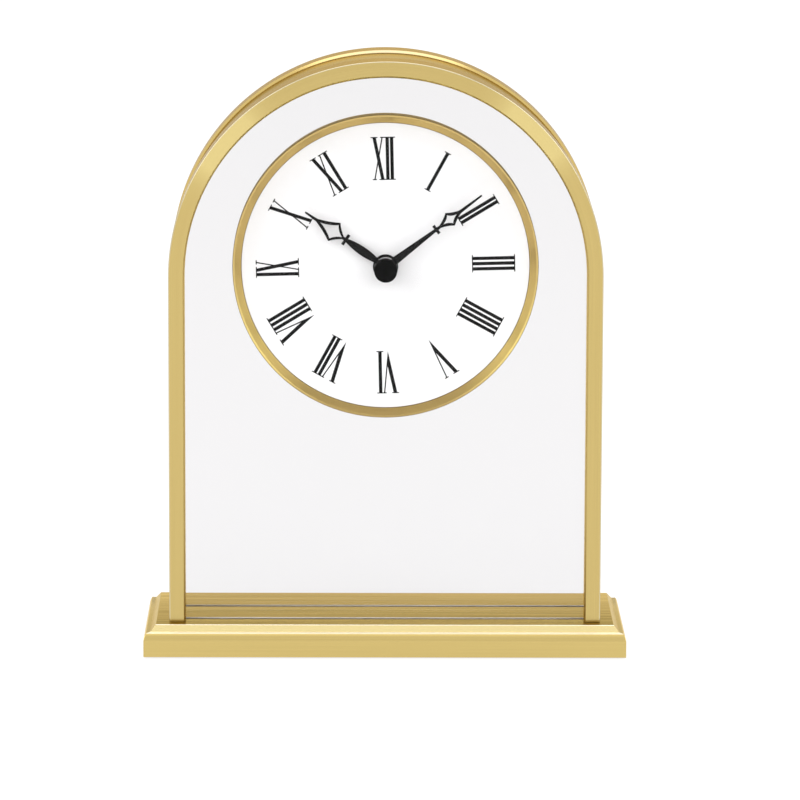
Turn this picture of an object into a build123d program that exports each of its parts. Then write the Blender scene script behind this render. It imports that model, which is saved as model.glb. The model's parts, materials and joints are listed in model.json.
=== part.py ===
"""Arched brass and glass mantel clock with a quartz movement, in millimetres.

The clock faces -Y and stands on Z = 0, with the origin under the middle of its base.
"""

import os
from math import acos, atan, cos, pi, radians, sin, tan

from build123d import *

os.makedirs("parts", exist_ok=True)

# Base: a hollow brass plinth with a moulded edge, a steel plate and felt below
base_width = 165.8
base_depth = 60.0
base_face_height = 5.2
base_curve_height = 3.0
base_curve_inset = 0.9
base_ledge_run = 1.45
base_ledge_rise = 0.25
base_slope_run = 1.8
base_slope_rise = 2.15
base_wall = 3.0
base_top_wall = 3.0
plate_rim = 1.5
plate_thickness = 1.5
plate_gap = 0.1
felt_thickness = 1.0
felt_proud = 0.5
felt_margin = 1.0
boss_spacing_x = 100.0
boss_spacing_y = 36.0
boss_radius = 3.5
base_screw_radius = 1.25
base_screw_head_radius = 2.3
base_screw_bite = 4.0

# Arch: two brass frames over a recessed band, set in from the ends of the base
arch_end_inset = 8.7
arch_face_width = 5.6
arch_leg_height = 119.9
arch_depth = 44.0
flange_depth = 5.0
front_frame_depth = 10.5
rear_frame_depth = 10.5
rear_frame_thickness = 2.5
rear_frame_chamfer = 0.8
face_inner_chamfer = 0.6
face_outer_chamfer = 0.35
band_recess = 1.1
band_thickness = 1.6
band_lap = 2.5
band_tenon = 2.5
lap_gap = 0.1
arch_screw_radius = 1.5
arch_screw_head_radius = 2.7
arch_screw_head_height = 2.0
arch_screw_bite = 7.0
screw_gap = 0.05
screw_tip_gap = 0.5

# Panes and the thin liners that hold the rear one
glass_thickness = 3.0
pane_groove = 0.8
pane_gap = 0.1
front_pane_cover = 0.8
rear_pane_setback = 25.0
liner_thickness = 0.7
keeper_depth = 5.0

# Dial and bezel, a little above the arch's centre
dial_rise = 1.0
bezel_radius = 52.7
bezel_rise = 3.0
bezel_rim = 0.7
bezel_edge = 0.3
bezel_lip = 0.3
bezel_width = 3.1
bezel_wall = 1.5
dial_thickness = 0.6
dial_hole_radius = 3.0
dial_stand_off = 2.0
dial_gap = 0.1
support_ring_width = 4.0

# Hands, set at nine minutes past ten
minute_hand_angle = 52.6
hour_hand_angle = 304.4
hand_thickness = 0.4
hand_stroke = 0.75
hour_hand_rise = 2.5
hour_hand_length = 33.5
hour_hub_radius = 4.3
hour_diamond_near = 16.9
hour_diamond_wide = 21.4
hour_diamond_far = 29.2
hour_far_web = 1.1
hour_diamond_half = 3.75
hour_diamond_bow = 0.35
hour_bar_place = 16.6
hour_bar_half = 2.0
hour_neck_half = 0.95
hour_belly_place = 9.8
hour_belly_half = 1.45
minute_hand_rise = 4.6
minute_hand_length = 41.4
minute_hub_radius = 3.85
minute_diamond_near = 22.4
minute_near_web = 0.8
minute_diamond_wide = 27.8
minute_diamond_far = 33.2
minute_far_web = 1.2
minute_diamond_half = 2.65
minute_diamond_bow = 0.45
minute_bar_place = 21.9
minute_bar_half = 1.65
minute_root_place = 4.7
minute_root_half = 1.3
bar_thickness = 0.95
spike_half = 0.5
tip_half = 0.24
waist_half = 0.5
cap_radius = 3.95
cap_length = 7.9
cap_end_wall = 1.9
cap_chamfer = 0.4

# Movement shells and their fixing through the rear pane
case_side = 56.0
case_depth = 16.0
case_wall = 1.2
case_front_wall = 1.0
case_corner = 3.0
cover_thickness = 1.2
cover_lip = 1.5
cover_lip_wall = 1.0
cover_gap = 0.1
cover_chamfer = 0.5
collar_gap = 0.6
collar_wall = 1.0
collar_height = 0.8
bush_radius = 4.0
bush_length = 5.2
gasket_thickness = 0.5
gasket_radius = 9.0
washer_thickness = 0.3
washer_radius = 7.5
nut_thickness = 1.4
nut_across_flats = 11.0
bush_gap = 0.1
pane_hole_gap = 0.3

# Gear train: teeth, modules and the direction of each next arbor, in degrees
pressure_angle = 25.0
addendum = 0.8
dedendum = 1.0
backlash = 0.06
cannon_teeth = 12
motion_wheel_teeth = 36
motion_pinion_teeth = 10
hour_wheel_teeth = 40
motion_module = 0.5
motion_direction = 150.0
centre_wheel_teeth = 45
third_pinion_teeth = 12
centre_module = 0.4
third_direction = 75.0
third_wheel_teeth = 40
fourth_pinion_teeth = 10
third_module = 0.35
fourth_direction = 0.0
fourth_wheel_teeth = 40
rotor_pinion_teeth = 10
fourth_module = 0.3
rotor_direction = -65.0
wheel_thickness = 1.2
level_gap = 0.75
floor_gap = 0.4
pinion_overhang = 0.2
arbor_radius = 1.0
pivot_radius = 0.5
pivot_depth = 0.7
pivot_hole_depth = 0.8
minute_shaft_radius = 1.5
hour_pipe_radius = 2.5
running_gap = 0.05
press_gap = 0.02
bridge_thickness = 1.2
bridge_margin = 2.6
post_radius = 1.8
spigot_radius = 1.0
post_places = [(-22.0, -5.0), (-3.0, 23.0), (22.0, 22.0), (10.8, -8.0)]

# Setting knob on the motion arbor, behind the cover
stem_radius = 1.4
knob_radius = 6.0
knob_thickness = 4.2
knob_gap = 0.3
knob_flutes = 16
knob_flute_radius = 0.8

# Stepping motor
magnet_radius = 3.0
magnet_length = 3.4
stator_thickness = 1.0
stator_gap = 0.4
stator_ring = 1.8
stator_arm = 2.8
coil_offset = 8.5
coil_half_length = 8.2
coil_flange = 0.8
coil_radius = 2.9
coil_tube_wall = 0.5
core_width = 2.0
core_thickness = 1.0
core_reach = 11.0
core_gap = 0.1
stator_post_radius = 1.2

# Circuit board, crystal, cell and contacts
board_width = 19.0
board_height = 9.0
board_thickness = 1.0
board_place = (-16.0, 21.8)
board_stand = 2.0
board_post_radius = 1.2
board_post_spacing = 12.0
crystal_radius = 1.0
crystal_length = 6.0
cell_radius = 7.1
cell_length = 49.2
cell_nub_radius = 2.75
cell_nub_length = 1.3
cell_gap = 0.3
bay_divider = 1.0
contact_thickness = 0.5
contact_width = 8.0
spring_thickness = 0.4

# Heights and depths worked out from the sizes above
plinth_bottom_z = felt_proud
plate_bottom_z = felt_thickness
plate_top_z = plate_bottom_z + plate_thickness
curve_start_z = plinth_bottom_z + base_face_height
curve_end_z = curve_start_z + base_curve_height
slope_start_z = curve_end_z + base_ledge_rise
plateau_z = slope_start_z + base_slope_rise
cavity_top_z = plateau_z - base_top_wall
arch_z = plateau_z + arch_leg_height
dial_z = arch_z + dial_rise

arch_front_y = -arch_depth / 2
arch_back_y = arch_depth / 2
front_frame_back_y = arch_front_y + front_frame_depth
rear_frame_front_y = arch_back_y - rear_frame_depth
front_glass_front_y = arch_front_y + flange_depth
front_glass_back_y = front_glass_front_y + glass_thickness
band_back_y = rear_frame_front_y + band_lap
rear_glass_front_y = arch_front_y + rear_pane_setback
rear_glass_back_y = rear_glass_front_y + glass_thickness
dial_back_y = rear_glass_front_y - dial_stand_off
dial_front_y = dial_back_y - dial_thickness
bezel_front_y = dial_front_y - bezel_rise
hour_hand_back_y = dial_front_y - hour_hand_rise
minute_hand_back_y = dial_front_y - minute_hand_rise
minute_hand_front_y = minute_hand_back_y - hand_thickness
cap_front_y = minute_hand_front_y - cap_length
case_front_y = rear_glass_back_y + gasket_thickness
case_floor_y = case_front_y + case_front_wall
case_back_y = case_front_y + case_depth
cover_front_y = case_back_y - cover_thickness

arch_outer_radius = base_width / 2 - arch_end_inset
arch_inner_radius = arch_outer_radius - arch_face_width
band_radius = arch_outer_radius - band_recess
band_inner_radius = band_radius - band_thickness
lap_radius = band_radius + lap_gap
rear_inner_radius = arch_outer_radius - rear_frame_thickness
front_pane_radius = band_inner_radius + front_pane_cover
rear_pane_radius = band_inner_radius - pane_gap
liner_radius = band_inner_radius - pane_gap
dial_opening_radius = bezel_radius - bezel_width
dial_seat_radius = bezel_radius - bezel_wall
dial_radius = dial_seat_radius - dial_gap

arch_axis = Axis((0, 0, arch_z), (0, -1, 0))
dial_axis = Axis((0, 0, dial_z), (0, 1, 0))


def front_view(y, across=0.0, up=0.0):
    """Sketch plane at depth y seen from the front, centred on a point of the dial's plane."""
    return Plane((across, y, dial_z + up), x_dir=(1, 0, 0), z_dir=(0, -1, 0))


def arched_area(radius, foot_z):
    """Adds an area with a half-round top about the sketch's origin and straight sides down to foot_z."""
    leg = arch_z - foot_z
    Circle(radius)
    with Locations((0, -leg / 2)):
        Rectangle(2 * radius, leg)


def bend_over_arch(leg_height):
    """Turns the pending section over the arch and runs its two ends down as legs."""
    bent = revolve(axis=arch_axis, revolution_arc=180)
    for end in bent.faces().sort_by(Axis.Z)[:2]:
        extrude(end, amount=leg_height)


def save(builder, name):
    builder.part.label = name
    export_step(builder.part, f"parts/{name}.step")


# Base plinth with its bosses, pane grooves and slots for the band
leg_screw_x = arch_outer_radius - arch_face_width / 2
leg_screw_y = arch_front_y + flange_depth / 2
boss_grid = GridLocations(boss_spacing_x, boss_spacing_y, 2, 2)


def moulded_section(half):
    """Adds the base's cross-section: sides that curve in, a ledge and a slope each side, a level top."""
    curve_start = (half, curve_start_z)
    curve_end = (half - base_curve_inset, curve_end_z)
    slope_start = (curve_end[0] - base_ledge_run, slope_start_z)
    slope_end = (slope_start[0] - base_slope_run, plateau_z)
    with BuildLine() as outline:
        Polyline((0, plinth_bottom_z), (half, plinth_bottom_z), curve_start)
        TangentArc(curve_start, curve_end, tangent=(0, 1))
        Polyline(curve_end, slope_start, slope_end, (0, plateau_z))
        Line((0, plateau_z), (0, plinth_bottom_z))
    make_face(outline.edges())
    mirror(about=Plane.YZ)


with BuildPart() as base_plinth:
    with BuildSketch(Plane.XZ):
        moulded_section(base_width / 2)
    extrude(amount=base_depth / 2, both=True)
    with BuildSketch(Plane.YZ):
        moulded_section(base_depth / 2)
    extrude(amount=base_width / 2, both=True, mode=Mode.INTERSECT)
    with BuildSketch(Plane.XY.offset(plinth_bottom_z)):
        Rectangle(base_width - 2 * base_wall, base_depth - 2 * base_wall)
    extrude(amount=cavity_top_z - plinth_bottom_z, mode=Mode.SUBTRACT)
    with BuildSketch(Plane.XY.offset(plinth_bottom_z)):
        Rectangle(base_width - 2 * plate_rim, base_depth - 2 * plate_rim)
    extrude(amount=plate_top_z - plinth_bottom_z, mode=Mode.SUBTRACT)
    with BuildSketch(Plane.XY.offset(plate_top_z)):
        with boss_grid:
            Circle(boss_radius)
    extrude(amount=cavity_top_z - plate_top_z)
    with BuildSketch(Plane.XY.offset(plate_top_z)):
        with boss_grid:
            Circle(base_screw_radius + screw_gap)
    extrude(amount=base_screw_bite + screw_tip_gap, mode=Mode.SUBTRACT)
    with BuildSketch(Plane.XY.offset(cavity_top_z)):
        with Locations((-leg_screw_x, leg_screw_y), (leg_screw_x, leg_screw_y)):
            Circle(arch_screw_radius + screw_gap)
    extrude(amount=base_top_wall, mode=Mode.SUBTRACT)
    with BuildSketch(Plane.XY.offset(plateau_z)):
        for pane_radius, pane_front_y in (
            (front_pane_radius, front_glass_front_y),
            (rear_pane_radius, rear_glass_front_y),
        ):
            with Locations((0, pane_front_y + glass_thickness / 2)):
                Rectangle(2 * (pane_radius + pane_gap), glass_thickness + 2 * pane_gap)
    extrude(amount=-pane_groove, mode=Mode.SUBTRACT)
    band_middle_x = (band_radius + band_inner_radius) / 2
    band_middle_y = (front_glass_back_y + band_back_y) / 2
    band_depth = band_back_y - front_glass_back_y
    with BuildSketch(Plane.XY.offset(plateau_z)):
        with Locations((-band_middle_x, band_middle_y), (band_middle_x, band_middle_y)):
            Rectangle(band_thickness + 2 * lap_gap, band_depth + 2 * lap_gap)
    extrude(amount=-base_top_wall, mode=Mode.SUBTRACT)
save(base_plinth, "base_plinth")

with BuildPart() as base_plate:
    with BuildSketch(Plane.XY.offset(plate_bottom_z)):
        Rectangle(
            base_width - 2 * (plate_rim + plate_gap),
            base_depth - 2 * (plate_rim + plate_gap),
        )
    extrude(amount=plate_thickness)
    with Locations(Plane((0, 0, plate_bottom_z), x_dir=(1, 0, 0), z_dir=(0, 0, -1))):
        with GridLocations(boss_spacing_x, boss_spacing_y, 2, 2):
            CounterSinkHole(
                base_screw_radius + screw_gap,
                base_screw_head_radius + screw_gap,
                counter_sink_angle=90,
            )
save(base_plate, "base_plate")

with BuildPart() as base_felt:
    with BuildSketch():
        Rectangle(
            base_width - 2 * (plate_rim + plate_gap + felt_margin),
            base_depth - 2 * (plate_rim + plate_gap + felt_margin),
        )
    extrude(amount=felt_thickness)
save(base_felt, "base_felt")

with BuildPart() as base_screws:
    head_cone = base_screw_head_radius - base_screw_radius
    with BuildSketch(Plane.XZ):
        with BuildLine():
            Polyline(
                (0, plate_bottom_z),
                (base_screw_head_radius, plate_bottom_z),
                (base_screw_radius, plate_bottom_z + head_cone),
                (base_screw_radius, plate_top_z + base_screw_bite),
                (0, plate_top_z + base_screw_bite),
                close=True,
            )
        make_face()
    base_screw = revolve(axis=Axis.Z, mode=Mode.PRIVATE)
    with boss_grid:
        add(base_screw)
save(base_screws, "base_screws")

with BuildPart() as arch_screws:
    with BuildSketch(Plane.XY.offset(cavity_top_z)):
        with Locations((-leg_screw_x, leg_screw_y), (leg_screw_x, leg_screw_y)):
            Circle(arch_screw_head_radius)
    extrude(amount=-arch_screw_head_height)
    with BuildSketch(Plane.XY.offset(cavity_top_z)):
        with Locations((-leg_screw_x, leg_screw_y), (leg_screw_x, leg_screw_y)):
            Circle(arch_screw_radius)
    extrude(amount=base_top_wall + arch_screw_bite)
save(arch_screws, "arch_screws")

# Arch pieces: each section lies level with the arch's centre, radius along X
with BuildPart() as arch_front_frame:
    with BuildSketch(Plane.XY.offset(arch_z)):
        with BuildLine():
            Polyline(
                (arch_inner_radius, arch_front_y + face_inner_chamfer),
                (arch_inner_radius + face_inner_chamfer, arch_front_y),
                (arch_outer_radius - face_outer_chamfer, arch_front_y),
                (arch_outer_radius, arch_front_y + face_outer_chamfer),
                (arch_outer_radius, front_frame_back_y),
                (lap_radius, front_frame_back_y),
                (lap_radius, front_glass_back_y),
                (front_pane_radius + pane_gap, front_glass_back_y),
                (front_pane_radius + pane_gap, front_glass_front_y),
                (arch_inner_radius, front_glass_front_y),
                close=True,
            )
        make_face()
    bend_over_arch(arch_leg_height)
    with BuildSketch(Plane.XY.offset(plateau_z)):
        with Locations((-leg_screw_x, leg_screw_y), (leg_screw_x, leg_screw_y)):
            Circle(arch_screw_radius + screw_gap)
    extrude(amount=arch_screw_bite + screw_tip_gap, mode=Mode.SUBTRACT)
save(arch_front_frame, "arch_front_frame")

with BuildPart() as arch_band:
    with BuildSketch(Plane.XY.offset(arch_z)):
        with BuildLine():
            Polyline(
                (band_inner_radius, front_glass_back_y),
                (band_radius, front_glass_back_y),
                (band_radius, band_back_y),
                (band_inner_radius, band_back_y),
                close=True,
            )
        make_face()
    bend_over_arch(arch_leg_height + band_tenon)
save(arch_band, "arch_band")

with BuildPart() as arch_rear_frame:
    with BuildSketch(Plane.XY.offset(arch_z)):
        with BuildLine():
            Polyline(
                (lap_radius, rear_frame_front_y),
                (arch_outer_radius - rear_frame_chamfer, rear_frame_front_y),
                (arch_outer_radius, rear_frame_front_y + rear_frame_chamfer),
                (arch_outer_radius, arch_back_y - face_outer_chamfer),
                (arch_outer_radius - face_outer_chamfer, arch_back_y),
                (rear_inner_radius + face_outer_chamfer, arch_back_y),
                (rear_inner_radius, arch_back_y - face_outer_chamfer),
                (rear_inner_radius, band_back_y),
                (lap_radius, band_back_y),
                close=True,
            )
        make_face()
    bend_over_arch(arch_leg_height)
save(arch_rear_frame, "arch_rear_frame")

# Panes, and the liners in front of and behind the rear pane
pane_foot_z = plateau_z - pane_groove

with BuildPart() as front_glass:
    with BuildSketch(front_view(front_glass_back_y, up=-dial_rise)):
        arched_area(front_pane_radius, pane_foot_z)
    extrude(amount=glass_thickness)
save(front_glass, "front_glass")

with BuildPart() as rear_glass:
    with BuildSketch(front_view(rear_glass_back_y, up=-dial_rise)):
        arched_area(rear_pane_radius, pane_foot_z)
        with Locations((0, dial_rise)):
            Circle(bush_radius + pane_hole_gap, mode=Mode.SUBTRACT)
    extrude(amount=glass_thickness)
save(rear_glass, "rear_glass")

liners = {
    "pane_spacer": (front_glass_back_y, rear_glass_front_y),
    "pane_keeper": (rear_glass_back_y, rear_glass_back_y + keeper_depth),
}
for liner_name, (liner_front_y, liner_back_y) in liners.items():
    with BuildPart() as liner:
        with BuildSketch(Plane.XY.offset(arch_z)):
            with BuildLine():
                Polyline(
                    (liner_radius - liner_thickness, liner_front_y),
                    (liner_radius, liner_front_y),
                    (liner_radius, liner_back_y),
                    (liner_radius - liner_thickness, liner_back_y),
                    close=True,
                )
            make_face()
        bend_over_arch(arch_leg_height)
    save(liner, liner_name)

# Bezel, dial and the ring that stands the dial off the pane
with BuildPart() as dial_bezel:
    with BuildSketch(Plane.XY.offset(dial_z)):
        with BuildLine():
            Polyline(
                (dial_seat_radius, rear_glass_front_y),
                (bezel_radius, rear_glass_front_y),
                (bezel_radius, bezel_front_y + bezel_edge),
                (bezel_radius - bezel_edge, bezel_front_y),
                (bezel_radius - bezel_rim, bezel_front_y),
                (dial_opening_radius, dial_front_y - bezel_lip),
                (dial_opening_radius, dial_front_y),
                (dial_seat_radius, dial_front_y),
                close=True,
            )
        make_face()
    revolve(axis=dial_axis)
save(dial_bezel, "dial_bezel")

with BuildPart() as dial_plate:
    with BuildSketch(front_view(dial_back_y)):
        Circle(dial_radius)
        Circle(dial_hole_radius, mode=Mode.SUBTRACT)
    extrude(amount=dial_thickness)
save(dial_plate, "dial_plate")

with BuildPart() as dial_support_ring:
    with BuildSketch(front_view(rear_glass_front_y)):
        Circle(dial_radius)
        Circle(dial_radius - support_ring_width, mode=Mode.SUBTRACT)
    extrude(amount=dial_stand_off)
save(dial_support_ring, "dial_support_ring")


# Hands: sketched pointing along their plane's Y, on a plane turned to the time shown
def hand_plane(back_y, clock_angle):
    turn = radians(clock_angle)
    return Plane((0, back_y, dial_z), x_dir=(cos(turn), 0, -sin(turn)), z_dir=(0, -1, 0))


def diamond(near, wide, far, half, bow):
    """Diamond on the hand's centre line with its four sides bowed inwards."""
    with BuildSketch() as shape:
        with BuildLine():
            SagittaArc((0, near), (half, wide), bow)
            SagittaArc((half, wide), (0, far), bow)
            SagittaArc((0, far), (-half, wide), bow)
            SagittaArc((-half, wide), (0, near), bow)
        make_face()
    return shape.sketch


def diamond_window(near, wide, far, half, bow):
    """The opening left when a diamond is drawn as a line of hand_stroke."""
    near_slope = half / (wide - near)
    far_slope = half / (far - wide)
    near_in = near + hand_stroke / sin(atan(near_slope))
    far_in = far - hand_stroke / sin(atan(far_slope))
    wide_in = (near_in * near_slope + far_in * far_slope) / (near_slope + far_slope)
    return diamond(near_in, wide_in, far_in, (wide_in - near_in) * near_slope, bow)


hour_diamond = (hour_diamond_near, hour_diamond_wide, hour_diamond_far, hour_diamond_half, hour_diamond_bow)
hour_diamond_area = diamond(
    hour_diamond_near,
    hour_diamond_wide,
    hour_diamond_far + hour_far_web,
    hour_diamond_half,
    hour_diamond_bow,
)
hour_window_area = diamond_window(*hour_diamond)

with BuildPart() as hour_hand:
    with BuildSketch(hand_plane(hour_hand_back_y, hour_hand_angle)):
        with BuildLine():
            Line((hour_neck_half, 0), (hour_neck_half, hour_hub_radius))
            Spline(
                (hour_neck_half, hour_hub_radius),
                (hour_belly_half, hour_belly_place),
                (waist_half, hour_bar_place),
            )
            Line((waist_half, hour_bar_place), (waist_half, hour_diamond_near + hand_stroke))
            Line((waist_half, hour_diamond_near + hand_stroke), (0, hour_diamond_near + hand_stroke))
            mirror(about=Plane.YZ)
            Line((-hour_neck_half, 0), (hour_neck_half, 0))
        make_face()
        Circle(hour_hub_radius)
        with Locations((0, hour_bar_place)):
            Rectangle(2 * hour_bar_half, bar_thickness)
        add(hour_diamond_area)
        Polygon(
            (-spike_half, hour_diamond_far - 2 * hand_stroke),
            (spike_half, hour_diamond_far - 2 * hand_stroke),
            (tip_half, hour_hand_length),
            (-tip_half, hour_hand_length),
            align=None,
        )
        add(hour_window_area, mode=Mode.SUBTRACT)
        Circle(hour_pipe_radius + press_gap, mode=Mode.SUBTRACT)
    extrude(amount=hand_thickness)
save(hour_hand, "hour_hand")

minute_diamond = (
    minute_diamond_near,
    minute_diamond_wide,
    minute_diamond_far,
    minute_diamond_half,
    minute_diamond_bow,
)
minute_diamond_area = diamond(
    minute_diamond_near - minute_near_web,
    minute_diamond_wide,
    minute_diamond_far + minute_far_web,
    minute_diamond_half,
    minute_diamond_bow,
)
minute_window_area = diamond_window(*minute_diamond)

with BuildPart() as minute_hand:
    with BuildSketch(hand_plane(minute_hand_back_y, minute_hand_angle)):
        Polygon(
            (-minute_root_half, 0),
            (minute_root_half, 0),
            (minute_root_half, minute_root_place),
            (waist_half, minute_bar_place),
            (waist_half, minute_diamond_near + hand_stroke),
            (-waist_half, minute_diamond_near + hand_stroke),
            (-waist_half, minute_bar_place),
            (-minute_root_half, minute_root_place),
            align=None,
        )
        Circle(minute_hub_radius)
        with Locations((0, minute_bar_place)):
            Rectangle(2 * minute_bar_half, bar_thickness)
        add(minute_diamond_area)
        Polygon(
            (-spike_half, minute_diamond_far - 2 * hand_stroke),
            (spike_half, minute_diamond_far - 2 * hand_stroke),
            (tip_half, minute_hand_length),
            (-tip_half, minute_hand_length),
            align=None,
        )
        add(minute_window_area, mode=Mode.SUBTRACT)
        Circle(minute_shaft_radius + press_gap, mode=Mode.SUBTRACT)
    extrude(amount=hand_thickness)
save(minute_hand, "minute_hand")

shaft_front_y = cap_front_y + cap_end_wall

with BuildPart() as hand_cap:
    with BuildSketch(Plane.XY.offset(dial_z)):
        with BuildLine():
            Polyline(
                (0, cap_front_y),
                (cap_radius - cap_chamfer, cap_front_y),
                (cap_radius, cap_front_y + cap_chamfer),
                (cap_radius, minute_hand_front_y),
                (minute_shaft_radius + press_gap, minute_hand_front_y),
                (minute_shaft_radius + press_gap, shaft_front_y),
                (0, shaft_front_y),
                close=True,
            )
        make_face()
    revolve(axis=dial_axis)
save(hand_cap, "hand_cap")


# Gears: an involute outline, with one tooth pointing at tooth_angle
def involute(pitch_angle):
    return tan(pitch_angle) - pitch_angle


def gear_points(teeth, module, tooth_angle):
    pitch = module * teeth / 2
    base = pitch * cos(radians(pressure_angle))
    root = pitch - dedendum * module
    tip = pitch + addendum * module
    half_at_pitch = pi / (2 * teeth) - backlash / (2 * pitch)
    flank = sorted({root, max(root, base), pitch, tip})
    halves = []
    for radius in flank:
        roll = acos(min(1.0, base / radius))
        halves.append(half_at_pitch + involute(radians(pressure_angle)) - involute(roll))
    points = []
    for tooth in range(teeth):
        middle = radians(tooth_angle) + 2 * pi * tooth / teeth
        rising = [(radius, middle - half) for radius, half in zip(flank, halves)]
        falling = [(radius, middle + half) for radius, half in zip(flank, halves)]
        points += [(radius * cos(a), radius * sin(a)) for radius, a in rising + falling[::-1]]
    return points


def gear(teeth, module, tooth_angle):
    """Adds a gear's area to the sketch being drawn."""
    Polygon(*gear_points(teeth, module, tooth_angle), align=None)


def meshed_angle(direction, teeth):
    """Tooth angle of a driven gear whose gap faces back along the line of centres."""
    return direction + 180 + 180 / teeth


def step_from(place, direction, distance):
    return (place[0] + distance * cos(radians(direction)), place[1] + distance * sin(radians(direction)))


def level_front(level):
    """Front depth of a wheel on one of the train's levels, counted from the case floor."""
    return case_floor_y + floor_gap + level * (wheel_thickness + level_gap)


motion_distance = motion_module * (cannon_teeth + motion_wheel_teeth) / 2
hour_module = 2 * motion_distance / (motion_pinion_teeth + hour_wheel_teeth)
third_distance = centre_module * (centre_wheel_teeth + third_pinion_teeth) / 2
fourth_distance = third_module * (third_wheel_teeth + fourth_pinion_teeth) / 2
rotor_distance = fourth_module * (fourth_wheel_teeth + rotor_pinion_teeth) / 2
motion_place = step_from((0, 0), motion_direction, motion_distance)
third_place = step_from((0, 0), third_direction, third_distance)
fourth_place = step_from(third_place, fourth_direction, fourth_distance)
rotor_place = step_from(fourth_place, rotor_direction, rotor_distance)

hour_level, motion_level, centre_level, third_level, fourth_level, bridge_level = range(6)
bridge_front_y = level_front(bridge_level)
bridge_back_y = bridge_front_y + bridge_thickness
pinion_length = wheel_thickness + 2 * pinion_overhang
pivot_front_y = case_floor_y - pivot_depth


def wheel_at(level, place, teeth, module, tooth_angle):
    """Adds a wheel to the part being built, on one of the train's levels."""
    with BuildSketch(front_view(level_front(level) + wheel_thickness, *place)) as outline:
        gear(teeth, module, tooth_angle)
    extrude(outline.sketch, amount=wheel_thickness)


def pinion_at(level, place, teeth, module, tooth_angle):
    """Adds a pinion to the part being built, a little longer than the wheel that it meets."""
    back_y = level_front(level) + wheel_thickness + pinion_overhang
    with BuildSketch(front_view(back_y, *place)) as outline:
        gear(teeth, module, tooth_angle)
    extrude(outline.sketch, amount=pinion_length)


def rod_at(place, radius, front_y, back_y, mode=Mode.ADD):
    """Adds or cuts a round rod along the clock's depth."""
    with BuildSketch(front_view(back_y, *place)) as outline:
        Circle(radius)
    extrude(outline.sketch, amount=back_y - front_y, mode=mode)


with BuildPart() as minute_arbor:
    rod_at((0, 0), minute_shaft_radius, shaft_front_y, level_front(centre_level) + wheel_thickness)
    pinion_at(motion_level, (0, 0), cannon_teeth, motion_module, motion_direction)
    rod_at((0, 0), arbor_radius, level_front(centre_level), bridge_front_y - running_gap)
    rod_at((0, 0), pivot_radius, bridge_front_y - running_gap, bridge_back_y)
save(minute_arbor, "minute_arbor")

with BuildPart() as centre_wheel:
    wheel_at(centre_level, (0, 0), centre_wheel_teeth, centre_module, third_direction)
    rod_at(
        (0, 0),
        minute_shaft_radius + press_gap,
        level_front(centre_level),
        level_front(centre_level) + wheel_thickness,
        Mode.SUBTRACT,
    )
save(centre_wheel, "centre_wheel")

with BuildPart() as hour_wheel:
    hour_mesh_angle = meshed_angle(motion_direction + 180, hour_wheel_teeth)
    wheel_at(hour_level, (0, 0), hour_wheel_teeth, hour_module, hour_mesh_angle)
    hour_pipe_front_y = hour_hand_back_y - hand_thickness
    rod_at((0, 0), hour_pipe_radius, hour_pipe_front_y, level_front(hour_level))
    rod_at(
        (0, 0),
        minute_shaft_radius + running_gap,
        hour_pipe_front_y,
        level_front(hour_level) + wheel_thickness,
        Mode.SUBTRACT,
    )
save(hour_wheel, "hour_wheel")

knob_front_y = case_back_y + knob_gap
knob_back_y = knob_front_y + knob_thickness
stem_end_y = knob_front_y + knob_thickness / 2

with BuildPart() as motion_wheel:
    rod_at(motion_place, pivot_radius, pivot_front_y, case_floor_y + running_gap)
    rod_at(motion_place, arbor_radius, case_floor_y + running_gap, bridge_front_y - running_gap)
    pinion_at(hour_level, motion_place, motion_pinion_teeth, hour_module, motion_direction + 180)
    motion_mesh_angle = meshed_angle(motion_direction, motion_wheel_teeth)
    wheel_at(motion_level, motion_place, motion_wheel_teeth, motion_module, motion_mesh_angle)
    rod_at(motion_place, stem_radius, bridge_front_y - running_gap, stem_end_y)
save(motion_wheel, "motion_wheel")

with BuildPart() as setting_knob:
    rod_at(motion_place, knob_radius, knob_front_y, knob_back_y)
    with BuildSketch(front_view(knob_back_y, *motion_place)):
        with PolarLocations(knob_radius, knob_flutes):
            Circle(knob_flute_radius)
    extrude(amount=knob_thickness, mode=Mode.SUBTRACT)
    rod_at(motion_place, stem_radius + press_gap, knob_front_y, stem_end_y, Mode.SUBTRACT)
save(setting_knob, "setting_knob")

with BuildPart() as third_wheel:
    rod_at(third_place, pivot_radius, pivot_front_y, case_floor_y + running_gap)
    rod_at(third_place, arbor_radius, case_floor_y + running_gap, bridge_front_y - running_gap)
    rod_at(third_place, pivot_radius, bridge_front_y - running_gap, bridge_back_y)
    pinion_at(
        centre_level,
        third_place,
        third_pinion_teeth,
        centre_module,
        meshed_angle(third_direction, third_pinion_teeth),
    )
    wheel_at(third_level, third_place, third_wheel_teeth, third_module, fourth_direction)
save(third_wheel, "third_wheel")

with BuildPart() as fourth_wheel:
    rod_at(fourth_place, pivot_radius, pivot_front_y, case_floor_y + running_gap)
    rod_at(fourth_place, arbor_radius, case_floor_y + running_gap, bridge_front_y - running_gap)
    rod_at(fourth_place, pivot_radius, bridge_front_y - running_gap, bridge_back_y)
    pinion_at(
        third_level,
        fourth_place,
        fourth_pinion_teeth,
        third_module,
        meshed_angle(fourth_direction, fourth_pinion_teeth),
    )
    wheel_at(fourth_level, fourth_place, fourth_wheel_teeth, fourth_module, rotor_direction)
save(fourth_wheel, "fourth_wheel")

stator_back_y = level_front(centre_level) - level_gap / 2
stator_front_y = stator_back_y - stator_thickness
magnet_middle_y = (stator_front_y + stator_back_y) / 2

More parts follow.
